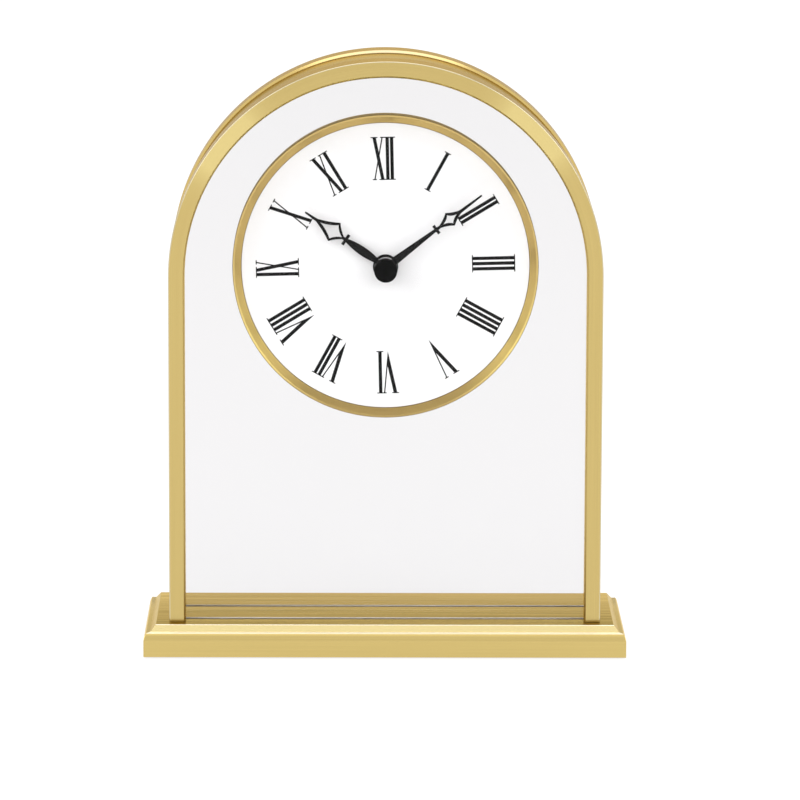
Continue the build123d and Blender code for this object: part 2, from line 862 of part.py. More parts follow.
with BuildPart() as rotor:
    rod_at(rotor_place, pivot_radius, pivot_front_y, case_floor_y + running_gap)
    rod_at(rotor_place, arbor_radius, case_floor_y + running_gap, bridge_front_y - running_gap)
    rod_at(rotor_place, pivot_radius, bridge_front_y - running_gap, bridge_back_y)
    rod_at(
        rotor_place,
        magnet_radius,
        magnet_middle_y - magnet_length / 2,
        magnet_middle_y + magnet_length / 2,
    )
    pinion_at(
        fourth_level,
        rotor_place,
        rotor_pinion_teeth,
        fourth_module,
        meshed_angle(rotor_direction, rotor_pinion_teeth),
    )
save(rotor, "rotor")

# Stator, core, bobbin and winding, placed from the rotor
coil_x = rotor_place[0] + coil_offset
coil_up = rotor_place[1]
stator_hole = magnet_radius + stator_gap
stator_posts = [(coil_x, coil_up - core_reach), (coil_x, coil_up + core_reach)]

with BuildPart() as stator:
    with BuildSketch(front_view(stator_back_y)):
        with Locations(rotor_place):
            Circle(stator_hole + stator_ring)
        with Locations(rotor_place):
            Rectangle(stator_arm, 2 * core_reach + stator_arm)
        for post_x, post_up in stator_posts:
            with Locations(((rotor_place[0] + post_x) / 2, post_up)):
                Rectangle(coil_offset + stator_arm, stator_arm)
        with Locations(rotor_place):
            Circle(stator_hole, mode=Mode.SUBTRACT)
    extrude(amount=stator_thickness)
save(stator, "stator")

core_back_y = stator_back_y + core_thickness
core_middle_y = stator_back_y + core_thickness / 2
tube_radius = core_width / 2 + core_gap + coil_tube_wall
flange_reach = coil_half_length + coil_flange
coil_plane = Plane(
    (coil_x, core_middle_y, dial_z + coil_up - flange_reach),
    x_dir=(1, 0, 0),
    z_dir=(0, 0, 1),
)

with BuildPart() as coil_core:
    with BuildSketch(front_view(core_back_y, coil_x, coil_up)):
        Rectangle(core_width, 2 * core_reach + core_width)
    extrude(amount=core_thickness)
save(coil_core, "coil_core")

with BuildPart() as coil_bobbin:
    with BuildSketch(coil_plane):
        Circle(tube_radius)
    extrude(amount=2 * flange_reach)
    for flange_up in (0, 2 * flange_reach - coil_flange):
        with BuildSketch(coil_plane.offset(flange_up)):
            Circle(coil_radius)
        extrude(amount=coil_flange)
    with BuildSketch(coil_plane):
        Rectangle(core_width + 2 * core_gap, core_thickness + 2 * core_gap)
    extrude(amount=2 * flange_reach, mode=Mode.SUBTRACT)
save(coil_bobbin, "coil_bobbin")

with BuildPart() as coil_winding:
    with BuildSketch(coil_plane.offset(coil_flange)):
        Circle(coil_radius - core_gap)
        Circle(tube_radius, mode=Mode.SUBTRACT)
    extrude(amount=2 * coil_half_length)
save(coil_winding, "coil_winding")

# Movement case: gear chamber above the cell bay, with posts, pivot holes and the bush
chamber_half = case_side / 2 - case_wall
cell_up = cell_radius + cell_gap - chamber_half
divider_low = cell_up + cell_radius + cell_gap
divider_high = divider_low + bay_divider
chamber_height = chamber_half - divider_high
chamber_up = (chamber_half + divider_high) / 2
bay_height = divider_low + chamber_half
bay_up = (divider_low - chamber_half) / 2
board_posts = [
    (board_place[0] - board_post_spacing / 2, board_place[1]),
    (board_place[0] + board_post_spacing / 2, board_place[1]),
]
board_front_y = case_floor_y + board_stand
board_back_y = board_front_y + board_thickness
bush_front_y = case_front_y - bush_length

with BuildPart() as movement_case:
    with BuildSketch(front_view(cover_front_y)):
        RectangleRounded(case_side, case_side, case_corner)
    extrude(amount=cover_front_y - case_front_y)
    with BuildSketch(front_view(cover_front_y)):
        with Locations((0, chamber_up)):
            Rectangle(2 * chamber_half, chamber_height)
        with Locations((0, bay_up)):
            Rectangle(2 * chamber_half, bay_height)
    extrude(amount=cover_front_y - case_floor_y, mode=Mode.SUBTRACT)
    rod_at((0, 0), bush_radius, bush_front_y, case_front_y)
    rod_at((0, 0), hour_pipe_radius + running_gap, bush_front_y, case_floor_y, Mode.SUBTRACT)
    for arbor_place in (motion_place, third_place, fourth_place, rotor_place):
        rod_at(
            arbor_place,
            pivot_radius + running_gap,
            case_floor_y - pivot_hole_depth,
            case_floor_y,
            Mode.SUBTRACT,
        )
    for post_place in post_places:
        rod_at(post_place, post_radius, case_floor_y, bridge_front_y)
        rod_at(post_place, spigot_radius, bridge_front_y, bridge_back_y)
    for post_place in stator_posts:
        rod_at(post_place, stator_post_radius, case_floor_y, stator_front_y)
    for post_place in board_posts:
        rod_at(post_place, board_post_radius, case_floor_y, board_front_y)
save(movement_case, "movement_case")

with BuildPart() as train_bridge:
    with BuildSketch(front_view(bridge_back_y)):
        with BuildLine():
            for post_place in post_places:
                CenterArc(post_place, bridge_margin, 0, 360)
        make_hull()
        for post_place in post_places:
            with Locations(post_place):
                Circle(spigot_radius + press_gap, mode=Mode.SUBTRACT)
        for arbor_place in ((0, 0), third_place, fourth_place, rotor_place):
            with Locations(arbor_place):
                Circle(pivot_radius + running_gap, mode=Mode.SUBTRACT)
        with Locations(motion_place):
            Circle(stem_radius + running_gap, mode=Mode.SUBTRACT)
    extrude(amount=bridge_thickness)
save(train_bridge, "train_bridge")

cover_height = case_side / 2 - divider_low
cover_up = (case_side / 2 + divider_low) / 2

with BuildPart() as movement_cover:
    with BuildSketch(front_view(case_back_y)):
        with Locations((0, cover_up)):
            RectangleRounded(case_side, cover_height, case_corner)
    extrude(amount=cover_thickness)
    chamfer(movement_cover.faces().sort_by(Axis.Y)[-1].edges(), cover_chamfer)
    collar_radius = knob_radius + collar_gap
    collar_back_y = case_back_y + collar_height
    rod_at(motion_place, collar_radius + collar_wall, case_back_y, collar_back_y)
    rod_at(motion_place, collar_radius, case_back_y, collar_back_y, Mode.SUBTRACT)
    with BuildSketch(front_view(cover_front_y)):
        with Locations((0, chamber_up)):
            lip_width = 2 * (chamber_half - cover_gap)
            lip_height = chamber_height - 2 * cover_gap
            Rectangle(lip_width, lip_height)
            Rectangle(lip_width - 2 * cover_lip_wall, lip_height - 2 * cover_lip_wall, mode=Mode.SUBTRACT)
    extrude(amount=cover_lip)
    rod_at(motion_place, stem_radius + running_gap, cover_front_y, case_back_y, Mode.SUBTRACT)
save(movement_cover, "movement_cover")

rings = {
    "mounting_gasket": (gasket_radius, rear_glass_back_y, case_front_y),
    "mounting_washer": (washer_radius, rear_glass_front_y - washer_thickness, rear_glass_front_y),
}
for ring_name, (ring_radius, ring_front_y, ring_back_y) in rings.items():
    with BuildPart() as ring:
        rod_at((0, 0), ring_radius, ring_front_y, ring_back_y)
        rod_at((0, 0), bush_radius + bush_gap, ring_front_y, ring_back_y, Mode.SUBTRACT)
    save(ring, ring_name)

with BuildPart() as mounting_nut:
    with BuildSketch(front_view(rear_glass_front_y - washer_thickness)):
        RegularPolygon(nut_across_flats / 2, 6, major_radius=False)
        Circle(bush_radius + bush_gap, mode=Mode.SUBTRACT)
    extrude(amount=nut_thickness)
save(mounting_nut, "mounting_nut")

# Circuit board with its crystal
with BuildPart() as circuit_board:
    with BuildSketch(front_view(board_back_y, *board_place)):
        Rectangle(board_width, board_height)
    extrude(amount=board_thickness)
save(circuit_board, "circuit_board")

with BuildPart() as quartz_crystal:
    crystal_plane = Plane(
        (board_place[0] - crystal_length / 2, board_back_y + crystal_radius, dial_z + board_place[1]),
        x_dir=(0, 1, 0),
        z_dir=(1, 0, 0),
    )
    with BuildSketch(crystal_plane):
        Circle(crystal_radius)
    extrude(amount=crystal_length)
save(quartz_crystal, "quartz_crystal")

# Cell with its nub to the right, between a plate contact and a bowed spring
cell_middle_y = case_back_y - cell_gap - cell_radius
nub_end_x = chamber_half - contact_thickness
cell_end_x = nub_end_x - cell_nub_length
cell_start_x = cell_end_x - cell_length
cell_plane = Plane((cell_start_x, cell_middle_y, dial_z + cell_up), x_dir=(0, 1, 0), z_dir=(1, 0, 0))

with BuildPart() as battery:
    with BuildSketch(cell_plane):
        Circle(cell_radius)
    extrude(amount=cell_length)
    with BuildSketch(cell_plane.offset(cell_length)):
        Circle(cell_nub_radius)
    extrude(amount=cell_nub_length)
save(battery, "battery")

with BuildPart() as battery_contact:
    contact_x = chamber_half - contact_thickness / 2
    with BuildSketch(front_view(cell_middle_y + contact_width / 2, contact_x, cell_up)):
        Rectangle(contact_thickness, contact_width)
    extrude(amount=contact_width)
save(battery_contact, "battery_contact")

with BuildPart() as battery_spring:
    spring_foot_x = -chamber_half
    spring_reach = cell_start_x - spring_foot_x
    spring_half = contact_width / 2
    with BuildSketch(front_view(cell_middle_y + spring_half, spring_foot_x, cell_up)):
        with BuildLine():
            ThreePointArc((0, -spring_half), (spring_reach, 0), (0, spring_half))
            Line((0, spring_half), (0, spring_half - spring_thickness))
            ThreePointArc(
                (0, spring_half - spring_thickness),
                (spring_reach - spring_thickness, 0),
                (0, spring_thickness - spring_half),
            )
            Line((0, spring_thickness - spring_half), (0, -spring_half))
        make_face()
    extrude(amount=contact_width)
save(battery_spring, "battery_spring")
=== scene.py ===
import json
from math import pi, radians, sqrt

import bmesh
import bpy
from mathutils import Euler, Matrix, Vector


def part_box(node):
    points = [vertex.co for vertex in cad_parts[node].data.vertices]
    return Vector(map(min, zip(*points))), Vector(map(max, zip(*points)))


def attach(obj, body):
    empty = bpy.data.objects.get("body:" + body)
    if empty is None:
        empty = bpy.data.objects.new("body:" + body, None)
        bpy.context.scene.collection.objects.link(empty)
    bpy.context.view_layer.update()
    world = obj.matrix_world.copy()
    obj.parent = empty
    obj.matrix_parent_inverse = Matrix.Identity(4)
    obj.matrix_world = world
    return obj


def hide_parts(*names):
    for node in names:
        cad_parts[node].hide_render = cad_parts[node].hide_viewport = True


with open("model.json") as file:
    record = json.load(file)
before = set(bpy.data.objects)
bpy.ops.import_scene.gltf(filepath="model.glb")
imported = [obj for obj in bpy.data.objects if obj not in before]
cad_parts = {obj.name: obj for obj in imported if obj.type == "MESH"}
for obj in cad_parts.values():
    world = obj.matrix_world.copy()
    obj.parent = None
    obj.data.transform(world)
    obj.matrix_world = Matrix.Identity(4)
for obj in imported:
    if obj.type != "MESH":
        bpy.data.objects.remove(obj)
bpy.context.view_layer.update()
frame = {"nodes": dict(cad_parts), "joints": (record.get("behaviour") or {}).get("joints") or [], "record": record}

# Lengths are in metres and angles in degrees, unless a heading says otherwise
MM = 0.001

# Modelling: what counts as touching, flat, sharp or smooth, steps of an edge, and a tool's overshoot
TOUCH = 0.002 * MM
FLAT_ANGLE = 1.0
CAD_FLAT_ANGLE = 0.5
SHARP_ANGLE = 35
SMOOTH_ANGLE = 40
EASE_STEPS = 2
ROUND_STEPS = 3
OVERSHOOT = 1.0

# Base
BASE_FACE = 5.2 * MM
BASE_CURVE_HEIGHT = 3.0 * MM
BASE_CURVE_INSET = 0.9 * MM
BASE_CURVE_STEPS = 8
BASE_LEDGE_RUN = 1.45 * MM
BASE_LEDGE_RISE = 0.25 * MM
BASE_SLOPE_RUN = 1.8 * MM
BASE_WALL = 3.0 * MM
BASE_EDGE = 0.15 * MM
BASE_SHARP_ANGLE = 20
BASE_SMOOTH_ANGLE = 15
PLATE_RIM = 1.5 * MM
GROOVE_GAP = 0.1 * MM
FELT_CUTS = 24
FELT_EDGE = 0.3 * MM

# Arch and panes
ARCH_STEPS = 96
ARCH_SMOOTH_ANGLE = 32
FACE_WIDTH = 5.6 * MM
FLANGE_DEPTH = 5.0 * MM
LAP_GAP = 0.1 * MM
REAR_LAP_GAP = 0.02 * MM
REAR_PANE_GAP = 0.3 * MM
FACE_CHAMFER = 0.6 * MM
OUTER_EDGE = 0.35 * MM
REAR_CHAMFER = 0.8 * MM
FOOT_EDGE = 0.2 * MM
PANE_EDGE = 0.25 * MM
PANE_GAP = 0.02 * MM

# Dial ring, cap and hands
RING_STEPS = 180
RING_WALL = 1.5 * MM
RING_WIDTH = 3.1 * MM
RING_RIM = 0.7 * MM
RING_LIP = 0.3 * MM
RING_EDGE = 0.15 * MM
CAP_SIDES = 72
CAP_SMOOTH_ANGLE = 30
CAP_EDGE = 0.3 * MM
CAP_EDGE_STEPS = 4
CAP_BORE_RADIUS = 1.52 * MM
CAP_FRONT = 1.9 * MM
HAND_EDGE = 0.06 * MM
PAINT = 0.08 * MM

# Numerals: strokes, hairlines and the room between letters
INK = 0.05 * MM
INK_SUNK = 0.02 * MM
NUMERAL_FOOT = 29.8 * MM
NUMERAL_HEAD = 44.7 * MM
THICK = 1.16 * MM
V_THICK = 1.26 * MM
THIN = 0.43 * MM
HAIRLINE = 0.36 * MM
THICK_SERIF = 1.2 * MM
THIN_SERIF = 0.72 * MM
HOUR_TURN = 30
DIAL_TURN = -1.4
X_SPREAD = 2.8 * MM
V_SPREAD = 3.85 * MM
V_LEAN = 0.5 * MM
LETTER_GAP = {"VI": 1.3 * MM, "XI": 1.7 * MM, "IX": 1.45 * MM}
BAR_GAP = {
    "II": 1.64 * MM,
    "III": 1.82 * MM,
    "IIII": 1.75 * MM,
    "VII": 1.64 * MM,
    "VIII": 1.8 * MM,
    "XII": 1.52 * MM,
}
HOURS = ["I", "II", "III", "IIII", "V", "VI", "VII", "VIII", "IX", "X", "XI", "XII"]

# Movement and base plate: how far their edges are eased
EASED_EDGES = {
    "movement_case": 0.35 * MM,
    "movement_cover": 0.35 * MM,
    "setting_knob": 0.25 * MM,
    "battery": 0.4 * MM,
    "mounting_nut": 0.15 * MM,
    "base_plate": 0.15 * MM,
}

# Brass: its colour at a glancing view, and its brushing in features a metre, along the lines and across
BRASS_EDGE = (0.95, 0.80, 0.45)
ARCH_EDGE = (0.80, 0.59, 0.20)
BRUSH_DEPTH = 0.03 * MM
LINE_DETAIL = 3.0
LINE_ROUGHNESS = 0.65
ARCH_STRETCH = (12, 3600, 3600)
BAND_STRETCH = (20, 2400, 2400)
BASE_STRETCH = (10, 700, 2600)
TOP_STRETCH = (8, 420, 0)
RING_STRETCH = (20, 3600, 1500)

# Brass colours: the darkest and the lightest of the brushing lines
BRASS_DARK = (0.52, 0.39, 0.14)
BRASS_LIGHT = (0.64, 0.49, 0.19)
FACE_DARK = (0.507, 0.38, 0.137)
FACE_LIGHT = (0.624, 0.478, 0.185)
BAND_DARK = (0.40, 0.30, 0.12)
BAND_LIGHT = (0.51, 0.385, 0.16)
BASE_DARK = (0.565, 0.425, 0.15)
BASE_LIGHT = (0.655, 0.505, 0.19)
TOP_DARK = (0.22, 0.155, 0.06)
TOP_LIGHT = (0.82, 0.64, 0.33)
RING_DARK = (0.61, 0.445, 0.165)
RING_LIGHT = (0.71, 0.52, 0.20)

# Brasses: lines, their stretch, dark and light colour, roughness, its spread, and relief
BRASSES = {
    "polished_brass": ("arch_lines", ARCH_STRETCH, BRASS_DARK, BRASS_LIGHT, 0.2, 0.04, 0.5),
    "front_brass": ("arch_lines", ARCH_STRETCH, FACE_DARK, FACE_LIGHT, 0.2, 0.04, 0.5),
    "rear_brass": ("arch_lines", ARCH_STRETCH, BRASS_DARK, BRASS_LIGHT, 0.2, 0.04, 0.5),
    "brushed_brass": ("arch_lines", BAND_STRETCH, BAND_DARK, BAND_LIGHT, 0.28, 0.06, 0.4),
    "base_brass": ("base_lines", BASE_STRETCH, BASE_DARK, BASE_LIGHT, 0.24, 0.06, 0.25),
    "ring_brass": ("ring_lines", RING_STRETCH, RING_DARK, RING_LIGHT, 0.36, 0.05, 0.4),
}

# Painted light on the arch: a painted sheen swept over the face (its turn in radians), painted shade on the sides,
# painted reflection on the chamfer and painted highlights on the edges
PAINTED_FACE_SHEEN = (0.71, 0.57, 0.235)
SWEEP_WAVES = 1.9
SWEEP_TURN = 0.08
SWEEP_POWER = 20
SWEEP_GAIN = 2.2
SIDE_SKIN = 0.03 * MM
SIDE_SHADE = (0.47, 0.33, 0.12)
SHOULDER_SHADE = (0.27, 0.165, 0.03)
BAND_SHOULDER_SHADE = (0.27, 0.18, 0.045)
STRIP_SIDE_REFLECTION = (0.68, 0.50, 0.18)
STRIP_TOP_REFLECTION = (0.52, 0.44, 0.28)
STRIP_TOP_REACH = 0.42
OUTER_EDGE_HIGHLIGHT = (0.60, 0.53, 0.36)
INNER_EDGE_HIGHLIGHT = (1.0, 0.82, 0.28)
INNER_HIGHLIGHT_POWER = 2

# Painted light and shade on the ring: a shaded lower part, a painted sheen and shaded sides
RING_SIDE_SHADE = (0.16, 0.10, 0.04)
RING_FOOT_SHADE = (0.47, 0.34, 0.125)
PAINTED_RING_SHEEN = (0.87, 0.68, 0.24)
RING_SHEEN_TURN = 30
RING_SHEEN_POWER = 14

# Painted light on the base: the top's painted shade and how it fades per metre, painted highlights and reflections
# on the moulding and ends, and the panes' beds with painted shade deep in them
TOP_PAINTED_SHADE = -0.12
TOP_SHADE_FADE = 12.0
SLOPE_REFLECTION = (0.62, 0.51, 0.245)
END_REFLECTION = (0.52, 0.42, 0.24)
TOP_EDGE_HIGHLIGHT = (1.0, 0.96, 0.85)
TOP_EDGE_HIGHLIGHT_DEPTH = 0.12 * MM
LEDGE_HIGHLIGHT = (0.86, 0.77, 0.54)
LEDGE_HIGHLIGHT_BELOW = 0.1 * MM
BED_PALE = (0.80, 0.76, 0.70)
BED_SHADE = (0.22, 0.19, 0.16)
BED_LINE = 0.25 * MM
BED_DEPTH = 1.0 * MM

# Grained surfaces: dark and light colour, grain scale, roughness, relief, and 1 for bare metal
GRAINS = {
    "white_dial": ((0.935, 0.943, 0.952), (0.965, 0.972, 0.98), 900, 0.45, 0.02, 0.0),
    "black_hands": ((0.003, 0.003, 0.003), (0.009, 0.009, 0.009), 1500, 0.42, 0.03, 0.0),
    "cap_black": ((0.002, 0.002, 0.002), (0.004, 0.004, 0.004), 1500, 0.5, 0.02, 0.0),
    "dial_print": ((0.004, 0.004, 0.004), (0.01, 0.01, 0.01), 2500, 0.6, 0.02, 0.0),
    "black_plastic": ((0.012, 0.012, 0.013), (0.03, 0.03, 0.031), 2200, 0.5, 0.25, 0.0),
    "white_plastic": ((0.78, 0.78, 0.75), (0.86, 0.86, 0.83), 1200, 0.45, 0.05, 0.0),
    "steel": ((0.52, 0.52, 0.54), (0.66, 0.66, 0.68), 700, 0.32, 0.08, 1.0),
    "nut_brass": ((0.70, 0.52, 0.24), (0.82, 0.63, 0.31), 900, 0.3, 0.08, 1.0),
    "rubber": ((0.012, 0.012, 0.012), (0.03, 0.03, 0.03), 1500, 0.75, 0.2, 0.0),
    "fibre": ((0.30, 0.09, 0.05), (0.42, 0.15, 0.08), 1800, 0.8, 0.3, 0.0),
    "board": ((0.015, 0.10, 0.04), (0.03, 0.17, 0.07), 600, 0.45, 0.05, 0.0),
    "felt": ((0.008, 0.03, 0.014), (0.02, 0.075, 0.035), 3500, 0.95, 1.0, 0.0),
}
GRAIN_DETAIL = 4.0
GRAIN_DEPTH = 0.02 * MM
GRAIN_ROUGH_SHARE = 0.15
FELT_SHEEN = 0.5

# How much light a surface throws back: less for the dull blacks
PLAIN_SHINE = 0.5
SHINE = {"dial_print": 0.12, "black_hands": 0.12, "cap_black": 0.05}

# Bright line round the cap, between two shares of its depth from the back
CAP_BAND = (0.26, 0.40)
CAP_LINE = (0.9, 0.9, 0.9)
CAP_LINE_ROUGH = 0.15
CAP_ROUGH = 0.95

# Glass, coil wire and cell
GLASS_TINT = (0.900, 0.895, 0.899)
GLASS_IOR = 1.12
WIRE_DARK = (0.42, 0.16, 0.07)
WIRE_LIGHT = (0.78, 0.38, 0.18)
WIRE_SCALE = 1500
WIRE_DEPTH = 0.05 * MM
WIRE_RELIEF = 0.8
WIRE_ROUGH = 0.35
WIRE_ROUGH_SPREAD = 0.05
SLEEVE_DARK = (0.045, 0.05, 0.06)
SLEEVE_ROUGH = 0.35
CELL_STEEL = (0.7, 0.7, 0.72)
CELL_BARE_END = 2.2 * MM

# Studio floor
FLOOR_RADIUS = 4.0
FLOOR_SIDES = 96
FLOOR_GREY = (0.22, 0.22, 0.22)
FLOOR_ROUGH = 0.9
FLOOR_GLOW = 0.78
WHITE = (1, 1, 1)

# Lamps: place, aim, width, height, power in watts, and whether the brass mirrors them
LAMPS = {
    "overhead": ((0, 0.3, 1.9), (0, 0.3, 0), 1.6, 2.0, 12.5, True),
    "front_high": ((0, -1.25, 1.4), (0, 0, 0.01), 1.2, 0.5, 0.9, True),
    "front_low": ((0, -2.4, 1.0), (0, 0, 0.13), 1.6, 0.6, 7.0, False),
    "left_high": ((-1.5, -1.5, 1.2), (0, 0, 0.12), 1.2, 1.6, 11.5, True),
    "right_high": ((1.5, -1.5, 1.2), (0, 0, 0.12), 1.2, 1.6, 11.5, True),
}

# Camera: its place, its turns in radians, its focal length in millimetres and how far it sees
CAMERA_PLACE = Vector((-12.44, -1778.5, 408.8)) * MM
CAMERA_PITCH = 0.1801
CAMERA_YAW = 0.0099
CAMERA_ROLL = 0.0037
CAMERA_LENS = 235.0
CAMERA_REACH = 50

# Places worked out from the frame
hinge = {joint["name"]: Vector(joint["pos_m"]) for joint in frame["joints"]}
body_of_node = {
    node: body
    for body, nodes in frame["record"]["behaviour"]["bodies"].items()
    for node in nodes
}
slot_of_node = {
    part["node"]: part["material_slot"] for part in frame["record"]["subparts"]
}
dial_z = hinge["minute_turn"].z
dial_front_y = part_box("dial_plate")[0].y
ring_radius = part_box("dial_bezel")[1].x
arch_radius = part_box("arch_front_frame")[1].x
arch_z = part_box("arch_front_frame")[1].z - arch_radius
plateau_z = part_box("arch_front_frame")[0].z
face_top_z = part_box("base_plinth")[0].z + BASE_FACE
ledge_z = face_top_z + BASE_CURVE_HEIGHT
slope_z = ledge_z + BASE_LEDGE_RISE
ledge_inset = BASE_CURVE_INSET + BASE_LEDGE_RUN
top_inset = ledge_inset + BASE_SLOPE_RUN


# Modelling by hand: start a piece, pick what to work on, shape it
def near(a, b):
    return abs(a - b) < TOUCH


def begin():
    """Leaves edit mode with nothing selected."""
    if bpy.context.object and bpy.context.object.mode != "OBJECT":
        bpy.ops.object.mode_set(mode="OBJECT")
    bpy.ops.object.select_all(action="DESELECT")


def choose(piece):
    """Makes a piece the active one and the only one selected."""
    begin()
    bpy.context.view_layer.objects.active = piece
    piece.select_set(True)


def edit(piece):
    choose(piece)
    bpy.ops.object.mode_set(mode="EDIT")


def name_start(name):
    """Names the primitive just added and puts its place in its mesh."""
    piece = bpy.context.object
    piece.name = name
    piece.data.name = name
    bpy.ops.object.transform_apply(location=True, rotation=True, scale=True)
    return piece


def start_box(name, low, high):
    begin()
    bpy.ops.mesh.primitive_cube_add(size=1, location=(low + high) / 2, scale=high - low)
    return name_start(name)


def start_rod(name, centre, radius, front_y, back_y, sides):
    """A round rod along the clock's depth."""
    begin()
    bpy.ops.mesh.primitive_cylinder_add(
        vertices=sides,
        radius=radius,
        depth=back_y - front_y,
        location=(centre.x, (front_y + back_y) / 2, centre.z),
        rotation=(pi / 2, 0, 0),
    )
    return name_start(name)


def start_section(name, x_low, x_high, y_low, y_high, centre_z):
    """A flat rectangle level with a centre that it is to be turned about."""
    begin()
    bpy.ops.mesh.primitive_plane_add(
        size=1,
        location=((x_low + x_high) / 2, (y_low + y_high) / 2, centre_z),
    )
    bpy.context.object.scale = (x_high - x_low, y_high - y_low, 1)
    return name_start(name)


def pick(kind, test):
    """Selects the vertices, edges or faces whose every corner passes test."""
    bpy.ops.mesh.select_mode(type=kind)
    bpy.ops.mesh.select_all(action="DESELECT")
    mesh = bmesh.from_edit_mesh(bpy.context.object.data)
    parts = {"VERT": mesh.verts, "EDGE": mesh.edges, "FACE": mesh.faces}[kind]
    for part in parts:
        corners = [part] if kind == "VERT" else part.verts
        if all(test(corner.co) for corner in corners):
            part.select_set(True)
    bmesh.update_edit_mesh(bpy.context.object.data)


def push(x=0.0, y=0.0, z=0.0):
    """Extrudes what is picked."""
    bpy.ops.mesh.extrude_region_move(TRANSFORM_OT_translate={"value": (x, y, z)})


def shift(x=0.0, y=0.0, z=0.0):
    """Moves what is picked."""
    bpy.ops.transform.translate(value=(x, y, z))


def cut(place, normal):
    """Divides the whole piece along a plane."""
    bpy.ops.mesh.select_all(action="SELECT")
    bpy.ops.mesh.bisect(plane_co=place, plane_no=normal)


def ease_edges(width, steps=EASE_STEPS):
    """Bevels the picked edges."""
    bpy.ops.mesh.bevel(offset=width, segments=steps, affect="EDGES")


def ease_corners(width, steps=ROUND_STEPS):
    """Bevels the picked corners of a section."""
    bpy.ops.mesh.bevel(offset=width, segments=steps, affect="VERTICES")


def merge_and_turn_out():
    """Closes seams and points the faces outwards."""
    bpy.ops.mesh.select_all(action="SELECT")
    bpy.ops.mesh.remove_doubles(threshold=TOUCH)
    bpy.ops.mesh.normals_make_consistent(inside=False)
    bpy.ops.object.mode_set(mode="OBJECT")


def join_section():
    """Makes a flat section one face and picks it."""
    bpy.ops.mesh.select_mode(type="FACE")
    bpy.ops.mesh.select_all(action="SELECT")
    bpy.ops.mesh.dissolve_limited(angle_limit=radians(FLAT_ANGLE))
    bpy.ops.mesh.select_all(action="SELECT")


def bend_over_arch(foot_z):
    """Turns the section over the arch and runs its two ends down as legs."""
    join_section()
    bpy.ops.mesh.spin(steps=ARCH_STEPS, angle=pi, center=(0, 0, arch_z), axis=(0, 1, 0))
    pick("FACE", lambda corner: near(corner.z, arch_z))
    push(z=foot_z - arch_z)


def turn_full():
    """Turns the section's outline right round the dial's axis."""
    join_section()
    bpy.ops.mesh.delete(type="ONLY_FACE")
    bpy.ops.mesh.select_mode(type="EDGE")
    bpy.ops.mesh.select_all(action="SELECT")
    bpy.ops.mesh.spin(steps=RING_STEPS, angle=2 * pi, center=(0, 0, dial_z), axis=(0, 1, 0))


def apply_modifier(piece, kind, **settings):
    choose(piece)
    modifier = piece.modifiers.new(kind.lower(), kind)
    for key, value in settings.items():
        setattr(modifier, key, value)
    bpy.ops.object.modifier_apply(modifier=modifier.name)


def carve(piece, tool, operation="DIFFERENCE"):
    """Cuts a tool's shape out of a piece, or adds it, and drops the tool."""
    apply_modifier(piece, "BOOLEAN", object=tool, operation=operation, solver="EXACT")
    bpy.data.objects.remove(tool)


def ease_sharp_edges(piece, width, angle=SHARP_ANGLE):
    apply_modifier(
        piece,
        "BEVEL",
        width=width,
        segments=EASE_STEPS,
        limit_method="ANGLE",
        angle_limit=radians(angle),
        use_clamp_overlap=True,
    )


def lay_finish(piece, finish):
    piece.data.materials.clear()
    piece.data.materials.append(finish)


def complete(piece, finish, node, smooth_angle=SMOOTH_ANGLE):
    """Gives a finished piece its shading, material and body, and hides the CAD node that it stands for."""
    choose(piece)
    bpy.ops.object.shade_smooth_by_angle(angle=radians(smooth_angle))
    apply_modifier(piece, "WEIGHTED_NORMAL", keep_sharp=True)
    lay_finish(piece, finish)
    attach(piece, body_of_node[node])
    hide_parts(node)


def eased_copy(node, width, finish, draw_in=0.0, coat=0.0):
    """A merged copy of a CAD node with eased edges, drawn in a hair or thickened by a coat of paint."""
    piece = bpy.data.objects.new(node + "_finished", frame["nodes"][node].data.copy())
    bpy.context.scene.collection.objects.link(piece)
    edit(piece)
    bpy.ops.mesh.select_all(action="SELECT")
    bpy.ops.mesh.remove_doubles(threshold=TOUCH)
    if not coat:
        bpy.ops.mesh.dissolve_limited(angle_limit=radians(CAD_FLAT_ANGLE))
    if draw_in:
        bpy.ops.mesh.select_all(action="SELECT")
        bpy.ops.transform.shrink_fatten(value=-draw_in, use_even_offset=True)
    begin()
    if coat:
        apply_modifier(piece, "DISPLACE", strength=coat, mid_level=0.0)
    ease_sharp_edges(piece, width)
    complete(piece, finish, node)


# Base
def base_levels():
    """Heights of the moulding above the straight face, and how far it has drawn in there."""
    curve_radius = (BASE_CURVE_HEIGHT**2 + BASE_CURVE_INSET**2) / (2 * BASE_CURVE_INSET)
    levels = []
    for step in range(1, BASE_CURVE_STEPS + 1):
        rise = BASE_CURVE_HEIGHT * step / BASE_CURVE_STEPS
        levels.append((face_top_z + rise, curve_radius - sqrt(curve_radius**2 - rise**2)))
    levels.append((slope_z, ledge_inset))
    levels.append((plateau_z, top_inset))
    return levels


def raise_moulding(half_width, half_depth):
    """Raises the straight face's top through the moulding's levels."""
    pick("FACE", lambda corner: near(corner.z, face_top_z))
    below_z, below_inset = face_top_z, 0.0
    for level_z, inset in base_levels():
        push(z=level_z - below_z)
        narrower = (half_width - inset) / (half_width - below_inset)
        shallower = (half_depth - inset) / (half_depth - below_inset)
        bpy.ops.transform.resize(value=(narrower, shallower, 1), center_override=(0, 0, level_z))
        below_z, below_inset = level_z, inset


def carve_groove(piece, node):
    """Lets the foot of a pane, or the two feet of the band, into the base."""
    low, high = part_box(node)
    gap = Vector((GROOVE_GAP, GROOVE_GAP, 0))
    groove = start_box("groove", low - gap, high + gap)
    if node == "arch_band":
        wall = high.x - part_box("rear_glass")[1].x
        hollow = Vector((wall + 2 * GROOVE_GAP, -OVERSHOOT, -OVERSHOOT))
        carve(groove, start_box("hollow", low + hollow, high - hollow))
    carve(piece, groove)


